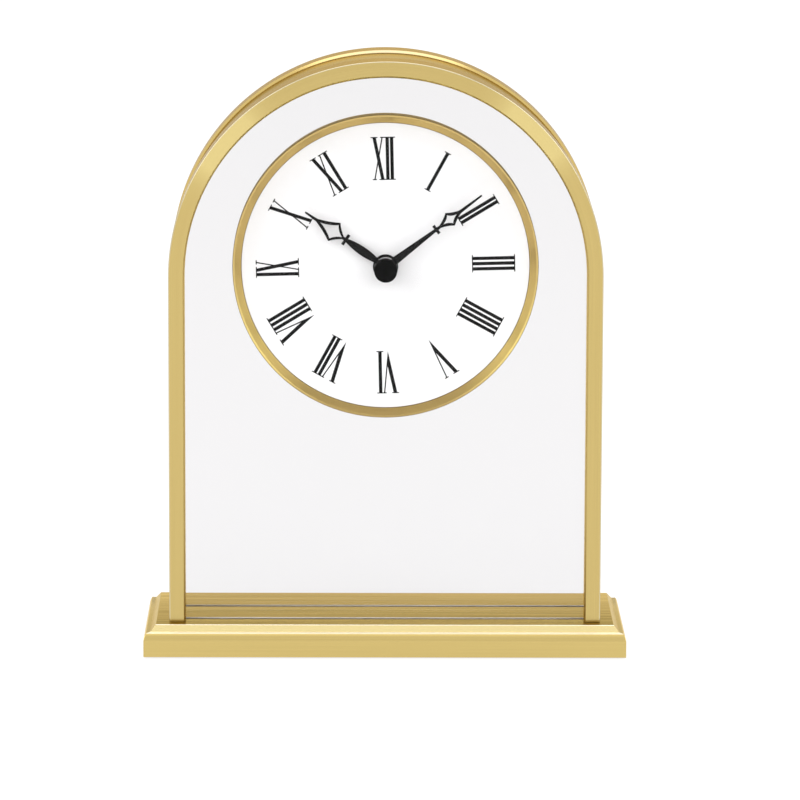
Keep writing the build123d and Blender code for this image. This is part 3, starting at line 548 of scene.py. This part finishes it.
def make_base_plinth(finish):
    low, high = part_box("base_plinth")
    plate_top_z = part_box("base_plate")[1].z
    cavity_top_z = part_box("arch_screws")[0].z
    piece = start_box("base_plinth_finished", low, Vector((high.x, high.y, face_top_z)))
    edit(piece)
    raise_moulding(high.x, high.y)
    pick("FACE", lambda corner: near(corner.z, low.z))
    bpy.ops.mesh.inset(thickness=PLATE_RIM)
    push(z=plate_top_z - low.z)
    bpy.ops.mesh.inset(thickness=BASE_WALL - PLATE_RIM)
    push(z=cavity_top_z - plate_top_z)
    begin()
    ease_sharp_edges(piece, BASE_EDGE, BASE_SHARP_ANGLE)
    for node in ("front_glass", "rear_glass", "arch_band"):
        carve_groove(piece, node)
    complete(piece, finish, "base_plinth", BASE_SMOOTH_ANGLE)


def make_base_felt(finish):
    low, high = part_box("base_felt")

    def on_lower_edge(corner):
        at_side = near(abs(corner.x), high.x) or near(abs(corner.y), high.y)
        return near(corner.z, low.z) and at_side

    piece = start_box("base_felt_finished", low, high)
    edit(piece)
    bpy.ops.mesh.select_all(action="SELECT")
    bpy.ops.mesh.subdivide(number_cuts=FELT_CUTS)
    pick("EDGE", on_lower_edge)
    ease_edges(FELT_EDGE, ROUND_STEPS)
    begin()
    complete(piece, finish, "base_felt")


# Arch
def make_arch_front_frame(finish):
    low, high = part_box("arch_front_frame")
    pane_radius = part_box("front_glass")[1].x + LAP_GAP
    pane_back_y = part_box("front_glass")[1].y
    lap_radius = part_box("arch_band")[1].x + LAP_GAP
    flange_back_y = low.y + FLANGE_DEPTH
    piece = start_section("arch_front_finished", high.x - FACE_WIDTH, high.x, low.y, flange_back_y, arch_z)
    edit(piece)
    cut((pane_radius, 0, 0), (1, 0, 0))
    pick("EDGE", lambda corner: near(corner.y, flange_back_y) and corner.x > pane_radius - TOUCH)
    push(y=pane_back_y - flange_back_y)
    cut((lap_radius, 0, 0), (1, 0, 0))
    pick("EDGE", lambda corner: near(corner.y, pane_back_y) and corner.x > lap_radius - TOUCH)
    push(y=high.y - pane_back_y)
    pick("VERT", lambda corner: near(corner.y, low.y) and near(corner.x, high.x))
    ease_corners(OUTER_EDGE)
    pick("VERT", lambda corner: near(corner.y, low.y) and near(corner.x, high.x - FACE_WIDTH))
    ease_corners(FACE_CHAMFER, steps=1)
    bend_over_arch(plateau_z)
    pick("EDGE", lambda corner: near(corner.z, plateau_z))
    ease_edges(FOOT_EDGE)
    merge_and_turn_out()
    complete(piece, finish, "arch_front_frame", ARCH_SMOOTH_ANGLE)


def make_arch_band(finish):
    low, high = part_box("arch_band")
    inner_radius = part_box("rear_glass")[1].x + LAP_GAP
    piece = start_section("arch_band_finished", inner_radius, high.x, low.y, high.y, arch_z)
    edit(piece)
    bend_over_arch(low.z)
    merge_and_turn_out()
    complete(piece, finish, "arch_band")


def make_arch_rear_frame(finish):
    low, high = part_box("arch_rear_frame")
    lap_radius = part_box("arch_band")[1].x + REAR_LAP_GAP
    inner_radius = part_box("rear_glass")[1].x + REAR_PANE_GAP
    band_back_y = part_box("arch_band")[1].y
    piece = start_section("arch_rear_finished", lap_radius, high.x, low.y, high.y, arch_z)
    edit(piece)
    cut((0, band_back_y, 0), (0, 1, 0))
    pick("EDGE", lambda corner: near(corner.x, lap_radius) and corner.y > band_back_y - TOUCH)
    push(x=inner_radius - lap_radius)
    pick("VERT", lambda corner: near(corner.x, high.x) and near(corner.y, low.y))
    ease_corners(REAR_CHAMFER, steps=1)
    pick("VERT", lambda corner: near(corner.y, high.y))
    ease_corners(OUTER_EDGE)
    bend_over_arch(plateau_z)
    pick("EDGE", lambda corner: near(corner.z, plateau_z))
    ease_edges(FOOT_EDGE)
    merge_and_turn_out()
    complete(piece, finish, "arch_rear_frame", ARCH_SMOOTH_ANGLE)


# Dial ring
def make_dial_bezel(finish):
    low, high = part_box("dial_bezel")
    seat_radius = high.x - RING_WALL
    opening_radius = high.x - RING_WIDTH
    piece = start_section("dial_bezel_finished", seat_radius, high.x, low.y, high.y, dial_z)
    edit(piece)
    cut((0, dial_front_y, 0), (0, 1, 0))
    pick("EDGE", lambda corner: near(corner.x, seat_radius) and corner.y < dial_front_y + TOUCH)
    push(x=opening_radius - seat_radius)
    pick("VERT", lambda corner: near(corner.x, opening_radius) and near(corner.y, low.y))
    shift(y=dial_front_y - RING_LIP - low.y)
    pick("VERT", lambda corner: near(corner.x, seat_radius) and near(corner.y, low.y))
    shift(x=high.x - RING_RIM - seat_radius)
    join_section()
    pick("VERT", lambda corner: near(corner.y, low.y))
    ease_corners(RING_EDGE)
    turn_full()
    merge_and_turn_out()
    complete(piece, finish, "dial_bezel")


# Numerals: corners are given as (across, out) from the dial's centre, in a plane's order
def stroke(corners):
    """One inked stroke of a numeral."""
    begin()
    bpy.ops.mesh.primitive_plane_add(size=1, rotation=(pi / 2, 0, 0))
    piece = name_start("stroke")
    for vertex, (across, out) in zip(piece.data.vertices, corners):
        vertex.co = (across, dial_front_y + INK_SUNK, out)
    edit(piece)
    bpy.ops.mesh.select_all(action="SELECT")
    push(y=-INK - INK_SUNK)
    merge_and_turn_out()
    return piece


def bar(head, foot, width):
    """Corners of a bar between its middle at the head and its middle at the foot."""
    half = width / 2
    return [
        (foot - half, NUMERAL_FOOT),
        (foot + half, NUMERAL_FOOT),
        (head - half, NUMERAL_HEAD),
        (head + half, NUMERAL_HEAD),
    ]


def plan_bar(across):
    """Strokes, head ends, foot ends and right side of an I. An end is (across, serif half)."""
    ends = [(across, THICK_SERIF)]
    return [bar(across, across, THICK)], ends, ends, across


def plan_cross(left):
    """The same for an X: a heavy bar crossed by a thin one."""
    right = left + X_SPREAD
    strokes = [bar(left, right, THICK), bar(right, left, THIN)]
    heads = [(left, THICK_SERIF), (right, THIN_SERIF)]
    feet = [(right, THICK_SERIF), (left, THIN_SERIF)]
    return strokes, heads, feet, right


def plan_wedge(left):
    """The same for a V: a heavy and a thin stroke that meet in a point."""
    right = left + V_SPREAD
    height = NUMERAL_HEAD - NUMERAL_FOOT
    left_edge = left - V_THICK / 2
    right_edge = right + THIN / 2
    apex = (left + right) / 2 + V_LEAN
    thick_lean = (apex - left_edge) / height
    thin_lean = (right_edge - apex) / height
    crotch_drop = (V_SPREAD - V_THICK / 2 - THIN / 2) / (thick_lean + thin_lean)
    crotch = (left_edge + V_THICK + thick_lean * crotch_drop, NUMERAL_HEAD - crotch_drop)
    point = (apex, NUMERAL_FOOT)
    strokes = [
        [point, crotch, (left_edge, NUMERAL_HEAD), (left_edge + V_THICK, NUMERAL_HEAD)],
        [crotch, point, (right_edge - THIN, NUMERAL_HEAD), (right_edge, NUMERAL_HEAD)],
    ]
    heads = [(left, THICK_SERIF), (right, THIN_SERIF)]
    return strokes, heads, [], right


def numeral_plan(letters):
    """Strokes of a whole numeral, and their ends at its head and foot."""
    plans = {"I": plan_bar, "V": plan_wedge, "X": plan_cross}
    strokes, heads, feet = [], [], []
    across = 0.0
    for place, letter in enumerate(letters):
        if place:
            pair = letters[place - 1] + letter
            across += BAR_GAP[letters] if pair == "II" else LETTER_GAP[pair]
        new_strokes, new_heads, new_feet, across = plans[letter](across)
        strokes += new_strokes
        heads += new_heads
        feet += new_feet
    return strokes, heads, feet


def joined_spans(ends):
    """Serif spans of stroke ends, run together where they meet."""
    spans = []
    for across, half in sorted(ends):
        if spans and across - half < spans[-1][1] + THIN:
            spans[-1][1] = across + half
        else:
            spans.append([across - half, across + half])
    return spans


def make_numeral(hour, letters, finish):
    strokes, heads, feet = numeral_plan(letters)
    for ends, out in ((heads, NUMERAL_HEAD - HAIRLINE), (feet, NUMERAL_FOOT)):
        for left, right in joined_spans(ends):
            strokes.append([(left, out), (right, out), (left, out + HAIRLINE), (right, out + HAIRLINE)])
    piece = stroke(strokes[0])
    for corners in strokes[1:]:
        carve(piece, stroke(corners), "UNION")
    reach = [across for corners in strokes for across, _ in corners]
    middle = (min(reach) + max(reach)) / 2
    piece.name = piece.data.name = f"numeral_{hour:02d}"
    for vertex in piece.data.vertices:
        vertex.co.x -= middle
    choose(piece)
    piece.rotation_euler = (0, radians(HOUR_TURN * hour + DIAL_TURN), 0)
    piece.location = (0, 0, dial_z)
    bpy.ops.object.transform_apply(location=True, rotation=True, scale=True)
    lay_finish(piece, finish)
    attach(piece, "case")


# Cap over the hands
def make_hand_cap(finish):
    low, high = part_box("hand_cap")
    piece = start_rod("hand_cap_finished", hinge["minute_turn"], high.x, low.y, high.y, CAP_SIDES)
    edit(piece)
    pick("EDGE", lambda corner: near(corner.y, low.y))
    ease_edges(CAP_EDGE, CAP_EDGE_STEPS)
    pick("FACE", lambda corner: near(corner.y, high.y))
    bpy.ops.mesh.inset(thickness=high.x - CAP_BORE_RADIUS)
    push(y=low.y + CAP_FRONT - high.y)
    begin()
    complete(piece, finish, "hand_cap", CAP_SMOOTH_ANGLE)


# Shader nodes: values, masks and colours, in a material's tree or in a group
def feed(tree, socket, value):
    """Links another socket to a socket, or sets it to a number, a vector or a colour."""
    if isinstance(value, bpy.types.NodeSocket):
        tree.links.new(value, socket)
    else:
        socket.default_value = (*value, 1) if socket.type == "RGBA" else value


def calculate(tree, operation, *values):
    """One step of arithmetic on sockets or numbers."""
    node = tree.nodes.new("ShaderNodeMath")
    node.operation = operation
    for socket, value in zip(node.inputs, values):
        feed(tree, socket, value)
    return node.outputs[0]


def between(tree, value, low, high):
    """A mask of the places where a value lies between two bounds."""
    over = calculate(tree, "GREATER_THAN", value, low)
    under = calculate(tree, "LESS_THAN", value, high)
    return calculate(tree, "MULTIPLY", over, under)


def distance(tree, across, up):
    """Distance from an axis along the clock's depth."""
    squares = [calculate(tree, "MULTIPLY", value, value) for value in (across, up)]
    return calculate(tree, "SQRT", calculate(tree, "ADD", *squares))


def mix(tree, mask, first, second):
    """The first colour where a mask is 0 and the second where it is 1."""
    node = tree.nodes.new("ShaderNodeMix")
    node.data_type = "RGBA"
    for name, value in {"Factor": mask, "A": first, "B": second}.items():
        feed(tree, node.inputs[name], value)
    return node.outputs["Result"]


def noise(tree, **values):
    node = tree.nodes.new("ShaderNodeTexNoise")
    for name, value in values.items():
        feed(tree, node.inputs[name], value)
    return node.outputs["Fac"]


def axes(tree, place):
    """A place's X, Y and Z."""
    split = tree.nodes.new("ShaderNodeSeparateXYZ")
    tree.links.new(place, split.inputs[0])
    return split.outputs


def object_place(tree):
    """Where a point lies on the piece itself."""
    return tree.nodes.new("ShaderNodeTexCoord").outputs["Object"]


def group_node(tree, name, **values):
    """Places a node group in a material and gives its outputs."""
    node = tree.nodes.new("ShaderNodeGroup")
    node.node_tree = bpy.data.node_groups[name]
    for socket, value in values.items():
        feed(tree, node.inputs[socket], value)
    return node.outputs


# Node groups: effects that more than one finish uses
def new_group(name, inputs, outputs):
    """A node group with named sockets, what it is given and what it puts out."""
    group = bpy.data.node_groups.new(name, "ShaderNodeTree")
    for way, sockets in (("INPUT", inputs), ("OUTPUT", outputs)):
        for socket, kind in sockets.items():
            group.interface.new_socket(name=socket, in_out=way, socket_type="NodeSocket" + kind)
    given = group.nodes.new("NodeGroupInput").outputs
    put = group.nodes.new("NodeGroupOutput").inputs
    return group, given, put


def path_round(tree, place, centre_z, legs):
    """A place as lengths along a path round a centre, out from it and in depth, with legs below or not."""
    across, depth, height = axes(tree, place)
    rise = calculate(tree, "SUBTRACT", height, centre_z)
    above = calculate(tree, "MAXIMUM", rise, 0.0) if legs else rise
    radius = distance(tree, across, above)
    along = calculate(tree, "MULTIPLY", calculate(tree, "ARCTAN2", above, across), radius)
    if legs:
        along = calculate(tree, "ADD", along, calculate(tree, "MINIMUM", rise, 0.0))
    path = tree.nodes.new("ShaderNodeCombineXYZ")
    for socket, value in zip(path.inputs, (along, radius, depth)):
        tree.links.new(value, socket)
    return path.outputs[0]


def make_lines_group(name, centre_z=None, legs=False):
    """Fine brushing lines, straight along the width or round a centre."""
    group, given, put = new_group(name, {"Vector": "Vector", "Stretch": "Vector"}, {"Lines": "Float"})
    place = given["Vector"]
    if centre_z is not None:
        place = path_round(group, place, centre_z, legs)
    drawn = group.nodes.new("ShaderNodeVectorMath")
    drawn.operation = "MULTIPLY"
    group.links.new(place, drawn.inputs[0])
    group.links.new(given["Stretch"], drawn.inputs[1])
    drawn_place = drawn.outputs["Vector"]
    lines = noise(group, Vector=drawn_place, Scale=1.0, Detail=LINE_DETAIL, Roughness=LINE_ROUGHNESS)
    group.links.new(lines, put["Lines"])


def make_grain_group():
    """The fine grain of moulded, painted and plated surfaces."""
    group, given, put = new_group("fine_grain", {"Vector": "Vector", "Scale": "Float"}, {"Grain": "Float"})
    grain = noise(group, Vector=given["Vector"], Scale=given["Scale"], Detail=GRAIN_DETAIL)
    group.links.new(grain, put["Grain"])


def make_variation_group():
    """Colour, roughness and a little relief that follow a mask."""
    inputs = {
        "Mask": "Float",
        "Dark": "Color",
        "Light": "Color",
        "Smoothest": "Float",
        "Roughest": "Float",
        "Depth": "Float",
        "Relief": "Float",
    }
    outputs = {"Colour": "Color", "Roughness": "Float", "Normal": "Vector"}
    group, given, put = new_group("variation", inputs, outputs)
    rough = group.nodes.new("ShaderNodeMapRange")
    group.links.new(given["Mask"], rough.inputs["Value"])
    group.links.new(given["Smoothest"], rough.inputs["To Min"])
    group.links.new(given["Roughest"], rough.inputs["To Max"])
    bump = group.nodes.new("ShaderNodeBump")
    group.links.new(given["Mask"], bump.inputs["Height"])
    group.links.new(given["Depth"], bump.inputs["Distance"])
    group.links.new(given["Relief"], bump.inputs["Strength"])
    group.links.new(mix(group, given["Mask"], given["Dark"], given["Light"]), put["Colour"])
    group.links.new(rough.outputs["Result"], put["Roughness"])
    group.links.new(bump.outputs["Normal"], put["Normal"])


def make_arch_group():
    """A point's height above the arch's legs, its distance out, and how far it is on a shoulder."""
    outputs = {"Above": "Float", "Radius": "Float", "Shoulder": "Float"}
    group, given, put = new_group("arch_place", {"Vector": "Vector"}, outputs)
    across, _, height = axes(group, given["Vector"])
    above = calculate(group, "MAXIMUM", calculate(group, "SUBTRACT", height, arch_z), 0.0)
    # Halfway round a shoulder this product is half the radius squared
    spread = calculate(group, "ABSOLUTE", calculate(group, "MULTIPLY", across, above))
    group.links.new(above, put["Above"])
    group.links.new(distance(group, across, above), put["Radius"])
    group.links.new(calculate(group, "MULTIPLY", spread, 2 / arch_radius**2), put["Shoulder"])


def make_groups():
    make_lines_group("arch_lines", arch_z, legs=True)
    make_lines_group("ring_lines", dial_z)
    make_lines_group("base_lines")
    make_grain_group()
    make_variation_group()
    make_arch_group()


# Finishes
def shader_of(material):
    return material.node_tree.nodes["Principled BSDF"]


def new_material(name, colour, roughness, metallic=0.0):
    material = bpy.data.materials.new(name)
    material.use_nodes = True
    sockets = shader_of(material).inputs
    for socket, value in {"Base Color": colour, "Roughness": roughness, "Metallic": metallic}.items():
        feed(material.node_tree, sockets[socket], value)
    return material


def vary(material, mask, dark, light, roughness, spread, depth, relief):
    """Lets a mask drive the colour, the roughness and a little relief."""
    tree = material.node_tree
    varied = group_node(
        tree,
        "variation",
        Mask=mask,
        Dark=dark,
        Light=light,
        Smoothest=roughness - spread,
        Roughest=roughness + spread,
        Depth=depth,
        Relief=relief,
    )
    for output, socket in {"Colour": "Base Color", "Roughness": "Roughness", "Normal": "Normal"}.items():
        tree.links.new(varied[output], shader_of(material).inputs[socket])


def lay_colour(material, mask, colour):
    """Lays a colour over the material's own where a mask says."""
    tree = material.node_tree
    base = shader_of(material).inputs["Base Color"]
    tree.links.new(mix(tree, mask, base.links[0].from_socket, colour), base)


def brass(name, lines_group, stretch, dark, light, roughness, spread, relief):
    """Lacquered brass with fine brushing lines."""
    material = new_material(name, light, roughness, metallic=1.0)
    tree = material.node_tree
    feed(tree, shader_of(material).inputs["Specular Tint"], BRASS_EDGE)
    lines = group_node(tree, lines_group, Vector=object_place(tree), Stretch=stretch)
    vary(material, lines["Lines"], dark, light, roughness, spread, BRUSH_DEPTH, relief)
    return material


def grainy(name, dark, light, scale, roughness, relief, metallic):
    """A moulded, painted or plated surface with a fine grain."""
    material = new_material(name, light, roughness, metallic)
    tree = material.node_tree
    shader_of(material).inputs["Specular IOR Level"].default_value = SHINE.get(name, PLAIN_SHINE)
    grain = group_node(tree, "fine_grain", Vector=object_place(tree), Scale=scale)
    spread = GRAIN_ROUGH_SHARE * roughness
    vary(material, grain["Grain"], dark, light, roughness, spread, GRAIN_DEPTH, relief)
    return material


def clear_glass():
    """Polished glass that lets light through to what stands behind it."""
    material = new_material("clear_glass", GLASS_TINT, roughness=0.0)
    tree = material.node_tree
    shader = shader_of(material)
    shader.inputs["Transmission Weight"].default_value = 1.0
    shader.inputs["IOR"].default_value = GLASS_IOR
    ray = tree.nodes.new("ShaderNodeLightPath").outputs
    mirrored = calculate(tree, "GREATER_THAN", ray["Is Glossy Ray"], ray["Is Transmission Ray"])
    either = calculate(tree, "MAXIMUM", ray["Is Shadow Ray"], mirrored)
    through = tree.nodes.new("ShaderNodeBsdfTransparent")
    mixed = tree.nodes.new("ShaderNodeMixShader")
    tree.links.new(either, mixed.inputs["Fac"])
    tree.links.new(shader.outputs["BSDF"], mixed.inputs[1])
    tree.links.new(through.outputs["BSDF"], mixed.inputs[2])
    tree.links.new(mixed.outputs["Shader"], tree.nodes["Material Output"].inputs["Surface"])
    return material


def wire_winding():
    """Enamelled copper wire laid in turns round the coil."""
    material = new_material("copper_wire", WIRE_LIGHT, WIRE_ROUGH, metallic=1.0)
    tree = material.node_tree
    turns = tree.nodes.new("ShaderNodeTexWave")
    turns.bands_direction = "Z"
    turns.inputs["Scale"].default_value = WIRE_SCALE
    tree.links.new(object_place(tree), turns.inputs["Vector"])
    mask = turns.outputs["Fac"]
    vary(material, mask, WIRE_DARK, WIRE_LIGHT, WIRE_ROUGH, WIRE_ROUGH_SPREAD, WIRE_DEPTH, WIRE_RELIEF)
    return material


def cell_sleeve():
    """A plain dark sleeve with bare steel at both ends of the cell."""
    material = new_material("cell_sleeve", SLEEVE_DARK, SLEEVE_ROUGH)
    tree = material.node_tree
    low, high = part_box("battery")
    along, _, _ = axes(tree, object_place(tree))
    away = calculate(tree, "ABSOLUTE", calculate(tree, "SUBTRACT", along, (low.x + high.x) / 2))
    bare = calculate(tree, "GREATER_THAN", away, (high.x - low.x) / 2 - CELL_BARE_END)
    tree.links.new(mix(tree, bare, SLEEVE_DARK, CELL_STEEL), shader_of(material).inputs["Base Color"])
    tree.links.new(bare, shader_of(material).inputs["Metallic"])
    return material


# Painted light and shade laid over the finishes, with a few real marks
def paint_ring_shading(material):
    """Painted shade on the lower part, a painted sheen low on the left and right, and painted dark brown shade on
    the sides.
    """
    tree = material.node_tree
    across, _, height = axes(tree, object_place(tree))
    rise = calculate(tree, "SUBTRACT", height, dial_z)
    radius = distance(tree, across, rise)
    inner_radius = ring_radius - RING_WIDTH
    angle = calculate(tree, "ARCTAN2", rise, calculate(tree, "ABSOLUTE", across))
    towards = calculate(tree, "COSINE", calculate(tree, "ADD", angle, radians(RING_SHEEN_TURN)))
    # Painted shade, deeper towards the ring's lower part
    lay_colour(material, calculate(tree, "MULTIPLY", rise, -1 / ring_radius), RING_FOOT_SHADE)
    # Painted sheen low on the left and right of the ring
    lay_colour(material, calculate(tree, "POWER", towards, RING_SHEEN_POWER), PAINTED_RING_SHEEN)
    # Painted shade: dark brown on the outer wall and along the inner edge
    lay_colour(material, between(tree, radius, ring_radius - RING_EDGE, ring_radius + MM), RING_SIDE_SHADE)
    lay_colour(material, between(tree, radius, inner_radius - MM, inner_radius + RING_EDGE), RING_SIDE_SHADE)


def paint_band_shade(material):
    """Painted shade on the shoulders of the band between the two frames."""
    tree = material.node_tree
    arch = group_node(tree, "arch_place", Vector=object_place(tree))
    # Painted shade on the band's shoulders
    lay_colour(material, arch["Shoulder"], BAND_SHOULDER_SHADE)


def paint_side_shade(material, arch):
    """A deeper colour at a glancing view, and painted shade on the outer sides, darkest on the shoulders."""
    tree = material.node_tree
    feed(tree, shader_of(material).inputs["Specular Tint"], ARCH_EDGE)
    side = calculate(tree, "GREATER_THAN", arch["Radius"], arch_radius - SIDE_SKIN)
    # Painted shade: browner outer sides, darkest halfway round each shoulder
    lay_colour(material, side, SIDE_SHADE)
    lay_colour(material, calculate(tree, "MULTIPLY", side, arch["Shoulder"]), SHOULDER_SHADE)


def paint_front_light(material):
    """A painted sheen swept over the front face, painted shade on the outer sides and painted highlights along the
    edges.
    """
    tree = material.node_tree
    place = object_place(tree)
    across, _, _ = axes(tree, place)
    arch = group_node(tree, "arch_place", Vector=place)
    # Painted sheen: a brighter colour in two patches on the face, where brushed brass would catch the light
    angle = calculate(tree, "ARCTAN2", arch["Above"], across)
    wave = calculate(tree, "SINE", calculate(tree, "MULTIPLY_ADD", angle, SWEEP_WAVES, SWEEP_TURN))
    sweep = calculate(tree, "POWER", calculate(tree, "ABSOLUTE", wave), SWEEP_POWER)
    lay_colour(material, calculate(tree, "MULTIPLY", sweep, SWEEP_GAIN), PAINTED_FACE_SHEEN)
    paint_side_shade(material, arch)
    outer_highlight = between(tree, arch["Radius"], arch_radius - OUTER_EDGE, arch_radius - SIDE_SKIN)
    inner_highlight = calculate(tree, "LESS_THAN", arch["Radius"], arch_radius - FACE_WIDTH + FACE_CHAMFER)
    rise = calculate(tree, "DIVIDE", arch["Above"], arch_radius)
    over_top = calculate(tree, "POWER", rise, INNER_HIGHLIGHT_POWER)
    # Painted highlights: a pale line along the outer edge and a bright inner chamfer over the top
    lay_colour(material, outer_highlight, OUTER_EDGE_HIGHLIGHT)
    lay_colour(material, calculate(tree, "MULTIPLY", inner_highlight, over_top), INNER_EDGE_HIGHLIGHT)


def paint_rear_light(material):
    """A painted reflection on the chamfer, duller at the top of the arch and golden to the sides, and painted
    shade on the outer sides.
    """
    tree = material.node_tree
    place = object_place(tree)
    across, depth, _ = axes(tree, place)
    arch = group_node(tree, "arch_place", Vector=place)
    strip = calculate(tree, "LESS_THAN", depth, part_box("arch_rear_frame")[0].y + REAR_CHAMFER)
    aside = calculate(tree, "DIVIDE", calculate(tree, "ABSOLUTE", across), STRIP_TOP_REACH * arch_radius)
    # Painted reflection on the chamfer: duller at the top of the arch, golden to the sides
    lay_colour(material, strip, STRIP_TOP_REFLECTION)
    lay_colour(material, calculate(tree, "MULTIPLY", strip, aside), STRIP_SIDE_REFLECTION)
    paint_side_shade(material, arch)


def top_brushing_and_shade(tree, depth):
    """Coarser brushing for the base's level top, with painted shade that makes it darker towards the front."""
    lines = group_node(tree, "base_lines", Vector=object_place(tree), Stretch=TOP_STRETCH)
    # Painted shade: the top grows darker towards the front
    fade = calculate(tree, "MULTIPLY_ADD", depth, TOP_SHADE_FADE, TOP_PAINTED_SHADE)
    return mix(tree, calculate(tree, "ADD", lines["Lines"], fade), TOP_DARK, TOP_LIGHT)


def paint_base_light_and_brushing(material):
    """Coarser brushing and painted shade on the level top, painted highlight lines and a paler painted reflection
    along the moulding, a duller painted reflection on the ends, and painted shade deep in the panes' beds.
    """
    tree = material.node_tree
    across, depth, height = axes(tree, object_place(tree))
    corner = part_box("base_plinth")[1]
    from_end = calculate(tree, "SUBTRACT", corner.x, calculate(tree, "ABSOLUTE", across))
    from_front = calculate(tree, "SUBTRACT", corner.y, calculate(tree, "ABSOLUTE", depth))
    from_side = calculate(tree, "MINIMUM", from_end, from_front)
    everywhere = 1.0
    long_side = calculate(tree, "GREATER_THAN", from_end, from_front)
    short_side = calculate(tree, "SUBTRACT", everywhere, long_side)
    inside = calculate(tree, "GREATER_THAN", from_side, top_inset + BASE_EDGE)
    below_top_z = plateau_z - TOUCH
    # Each from one height to another, where, in which colour, and whether it is bare metal
    bands = (
        (below_top_z, plateau_z + MM, everywhere, top_brushing_and_shade(tree, depth), True),
        # Painted reflections on the ends and the slope, then painted highlights on the ledge and along the slope's
        # top edge
        (ledge_z, below_top_z, short_side, END_REFLECTION, True),
        (slope_z, below_top_z, long_side, SLOPE_REFLECTION, True),
        (ledge_z - LEDGE_HIGHLIGHT_BELOW, slope_z - TOUCH, long_side, LEDGE_HIGHLIGHT, False),
        (plateau_z - TOP_EDGE_HIGHLIGHT_DEPTH, below_top_z, long_side, TOP_EDGE_HIGHLIGHT, True),
        # Painted shade low in the panes' beds, below a pale band at their top
        (plateau_z - BED_DEPTH, plateau_z - BED_LINE, inside, BED_SHADE, False),
        (plateau_z - BED_LINE, below_top_z, inside, BED_PALE, False),
    )
    metal = everywhere
    for low_z, high_z, where, colour, bare in bands:
        mask = calculate(tree, "MULTIPLY", between(tree, height, low_z, high_z), where)
        lay_colour(material, mask, colour)
        if not bare:
            metal = calculate(tree, "SUBTRACT", metal, mask)
    tree.links.new(metal, shader_of(material).inputs["Metallic"])


def line_cap_side(material):
    """Leaves a fine bright line turned round the cap's dull side."""
    tree = material.node_tree
    _, depth, _ = axes(tree, object_place(tree))
    low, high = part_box("hand_cap")
    band_back, band_front = [high.y - share * (high.y - low.y) for share in CAP_BAND]
    band = between(tree, depth, band_front, band_back)
    smoother = calculate(tree, "MULTIPLY", band, CAP_ROUGH - CAP_LINE_ROUGH)
    lay_colour(material, band, CAP_LINE)
    tree.links.new(band, shader_of(material).inputs["Metallic"])
    roughness = calculate(tree, "SUBTRACT", CAP_ROUGH, smoother)
    tree.links.new(roughness, shader_of(material).inputs["Roughness"])


def make_finishes():
    make_groups()
    finishes = {name: brass(name, *values) for name, values in BRASSES.items()}
    for name, values in GRAINS.items():
        finishes[name] = grainy(name, *values)
    finishes["clear_glass"] = clear_glass()
    finishes["copper_wire"] = wire_winding()
    finishes["cell"] = cell_sleeve()
    paint_ring_shading(finishes["ring_brass"])
    paint_band_shade(finishes["brushed_brass"])
    paint_front_light(finishes["front_brass"])
    paint_rear_light(finishes["rear_brass"])
    paint_base_light_and_brushing(finishes["base_brass"])
    line_cap_side(finishes["cap_black"])
    shader_of(finishes["felt"]).inputs["Sheen Weight"].default_value = FELT_SHEEN
    return finishes


# Studio
def light_panel(name, place, aim, width, height, power, mirrored):
    """A soft lamp; one that isn't mirrored stays out of the brass's reflections."""
    begin()
    bpy.ops.object.light_add(type="AREA", location=place)
    lamp = bpy.context.object
    lamp.name = name
    lamp.data.shape = "RECTANGLE"
    lamp.data.size = width
    lamp.data.size_y = height
    lamp.data.energy = power
    lamp.visible_glossy = mirrored
    lamp.rotation_euler = (Vector(aim) - Vector(place)).to_track_quat("-Z", "Y").to_euler()


def make_sky():
    """Even white studio surroundings."""
    world = bpy.data.worlds.new("studio")
    bpy.context.scene.world = world
    world.use_nodes = True
    surroundings = world.node_tree.nodes["Background"]
    feed(world.node_tree, surroundings.inputs["Color"], WHITE)
    surroundings.inputs["Strength"].default_value = 1.0


def make_floor():
    """A pale floor that glows a little, so that it stays white under the clock."""
    begin()
    bpy.ops.mesh.primitive_circle_add(vertices=FLOOR_SIDES, radius=FLOOR_RADIUS, fill_type="NGON")
    floor = bpy.context.object
    floor.name = "floor"
    finish = new_material("floor_white", FLOOR_GREY, FLOOR_ROUGH)
    feed(finish.node_tree, shader_of(finish).inputs["Emission Color"], WHITE)
    shader_of(finish).inputs["Emission Strength"].default_value = FLOOR_GLOW
    floor.data.materials.append(finish)


def make_studio():
    make_floor()
    make_sky()
    for name, values in LAMPS.items():
        light_panel(name, *values)


def make_camera():
    """Camera at the photograph's angle: a long lens, a little above the clock."""
    begin()
    bpy.ops.object.camera_add(location=CAMERA_PLACE)
    camera = bpy.context.object
    camera.name = "camera"
    aim = Euler((pi / 2 - CAMERA_PITCH, 0, -CAMERA_YAW)).to_matrix()
    turn = aim @ Euler((0, 0, CAMERA_ROLL)).to_matrix()
    camera.rotation_euler = turn.to_euler()
    camera.data.lens = CAMERA_LENS
    camera.data.clip_end = CAMERA_REACH
    bpy.context.scene.camera = camera


# The clock, its pieces in turn
finishes = make_finishes()
for node, part in frame["nodes"].items():
    lay_finish(part, finishes[slot_of_node[node]])

make_base_plinth(finishes["base_brass"])
make_base_felt(finishes["felt"])
make_arch_front_frame(finishes["front_brass"])
make_arch_band(finishes["brushed_brass"])
make_arch_rear_frame(finishes["rear_brass"])
make_dial_bezel(finishes["ring_brass"])
make_hand_cap(finishes["cap_black"])
for number, letters in enumerate(HOURS, 1):
    make_numeral(number, letters, finishes["dial_print"])
for node in ("hour_hand", "minute_hand"):
    eased_copy(node, HAND_EDGE, finishes["black_hands"], coat=PAINT)
for node, width in EASED_EDGES.items():
    eased_copy(node, width, finishes[slot_of_node[node]])
for node in ("front_glass", "rear_glass"):
    eased_copy(node, PANE_EDGE, finishes["clear_glass"], draw_in=PANE_GAP)
make_studio()
make_camera()
bpy.context.scene.view_settings.view_transform = "Standard"

begin()
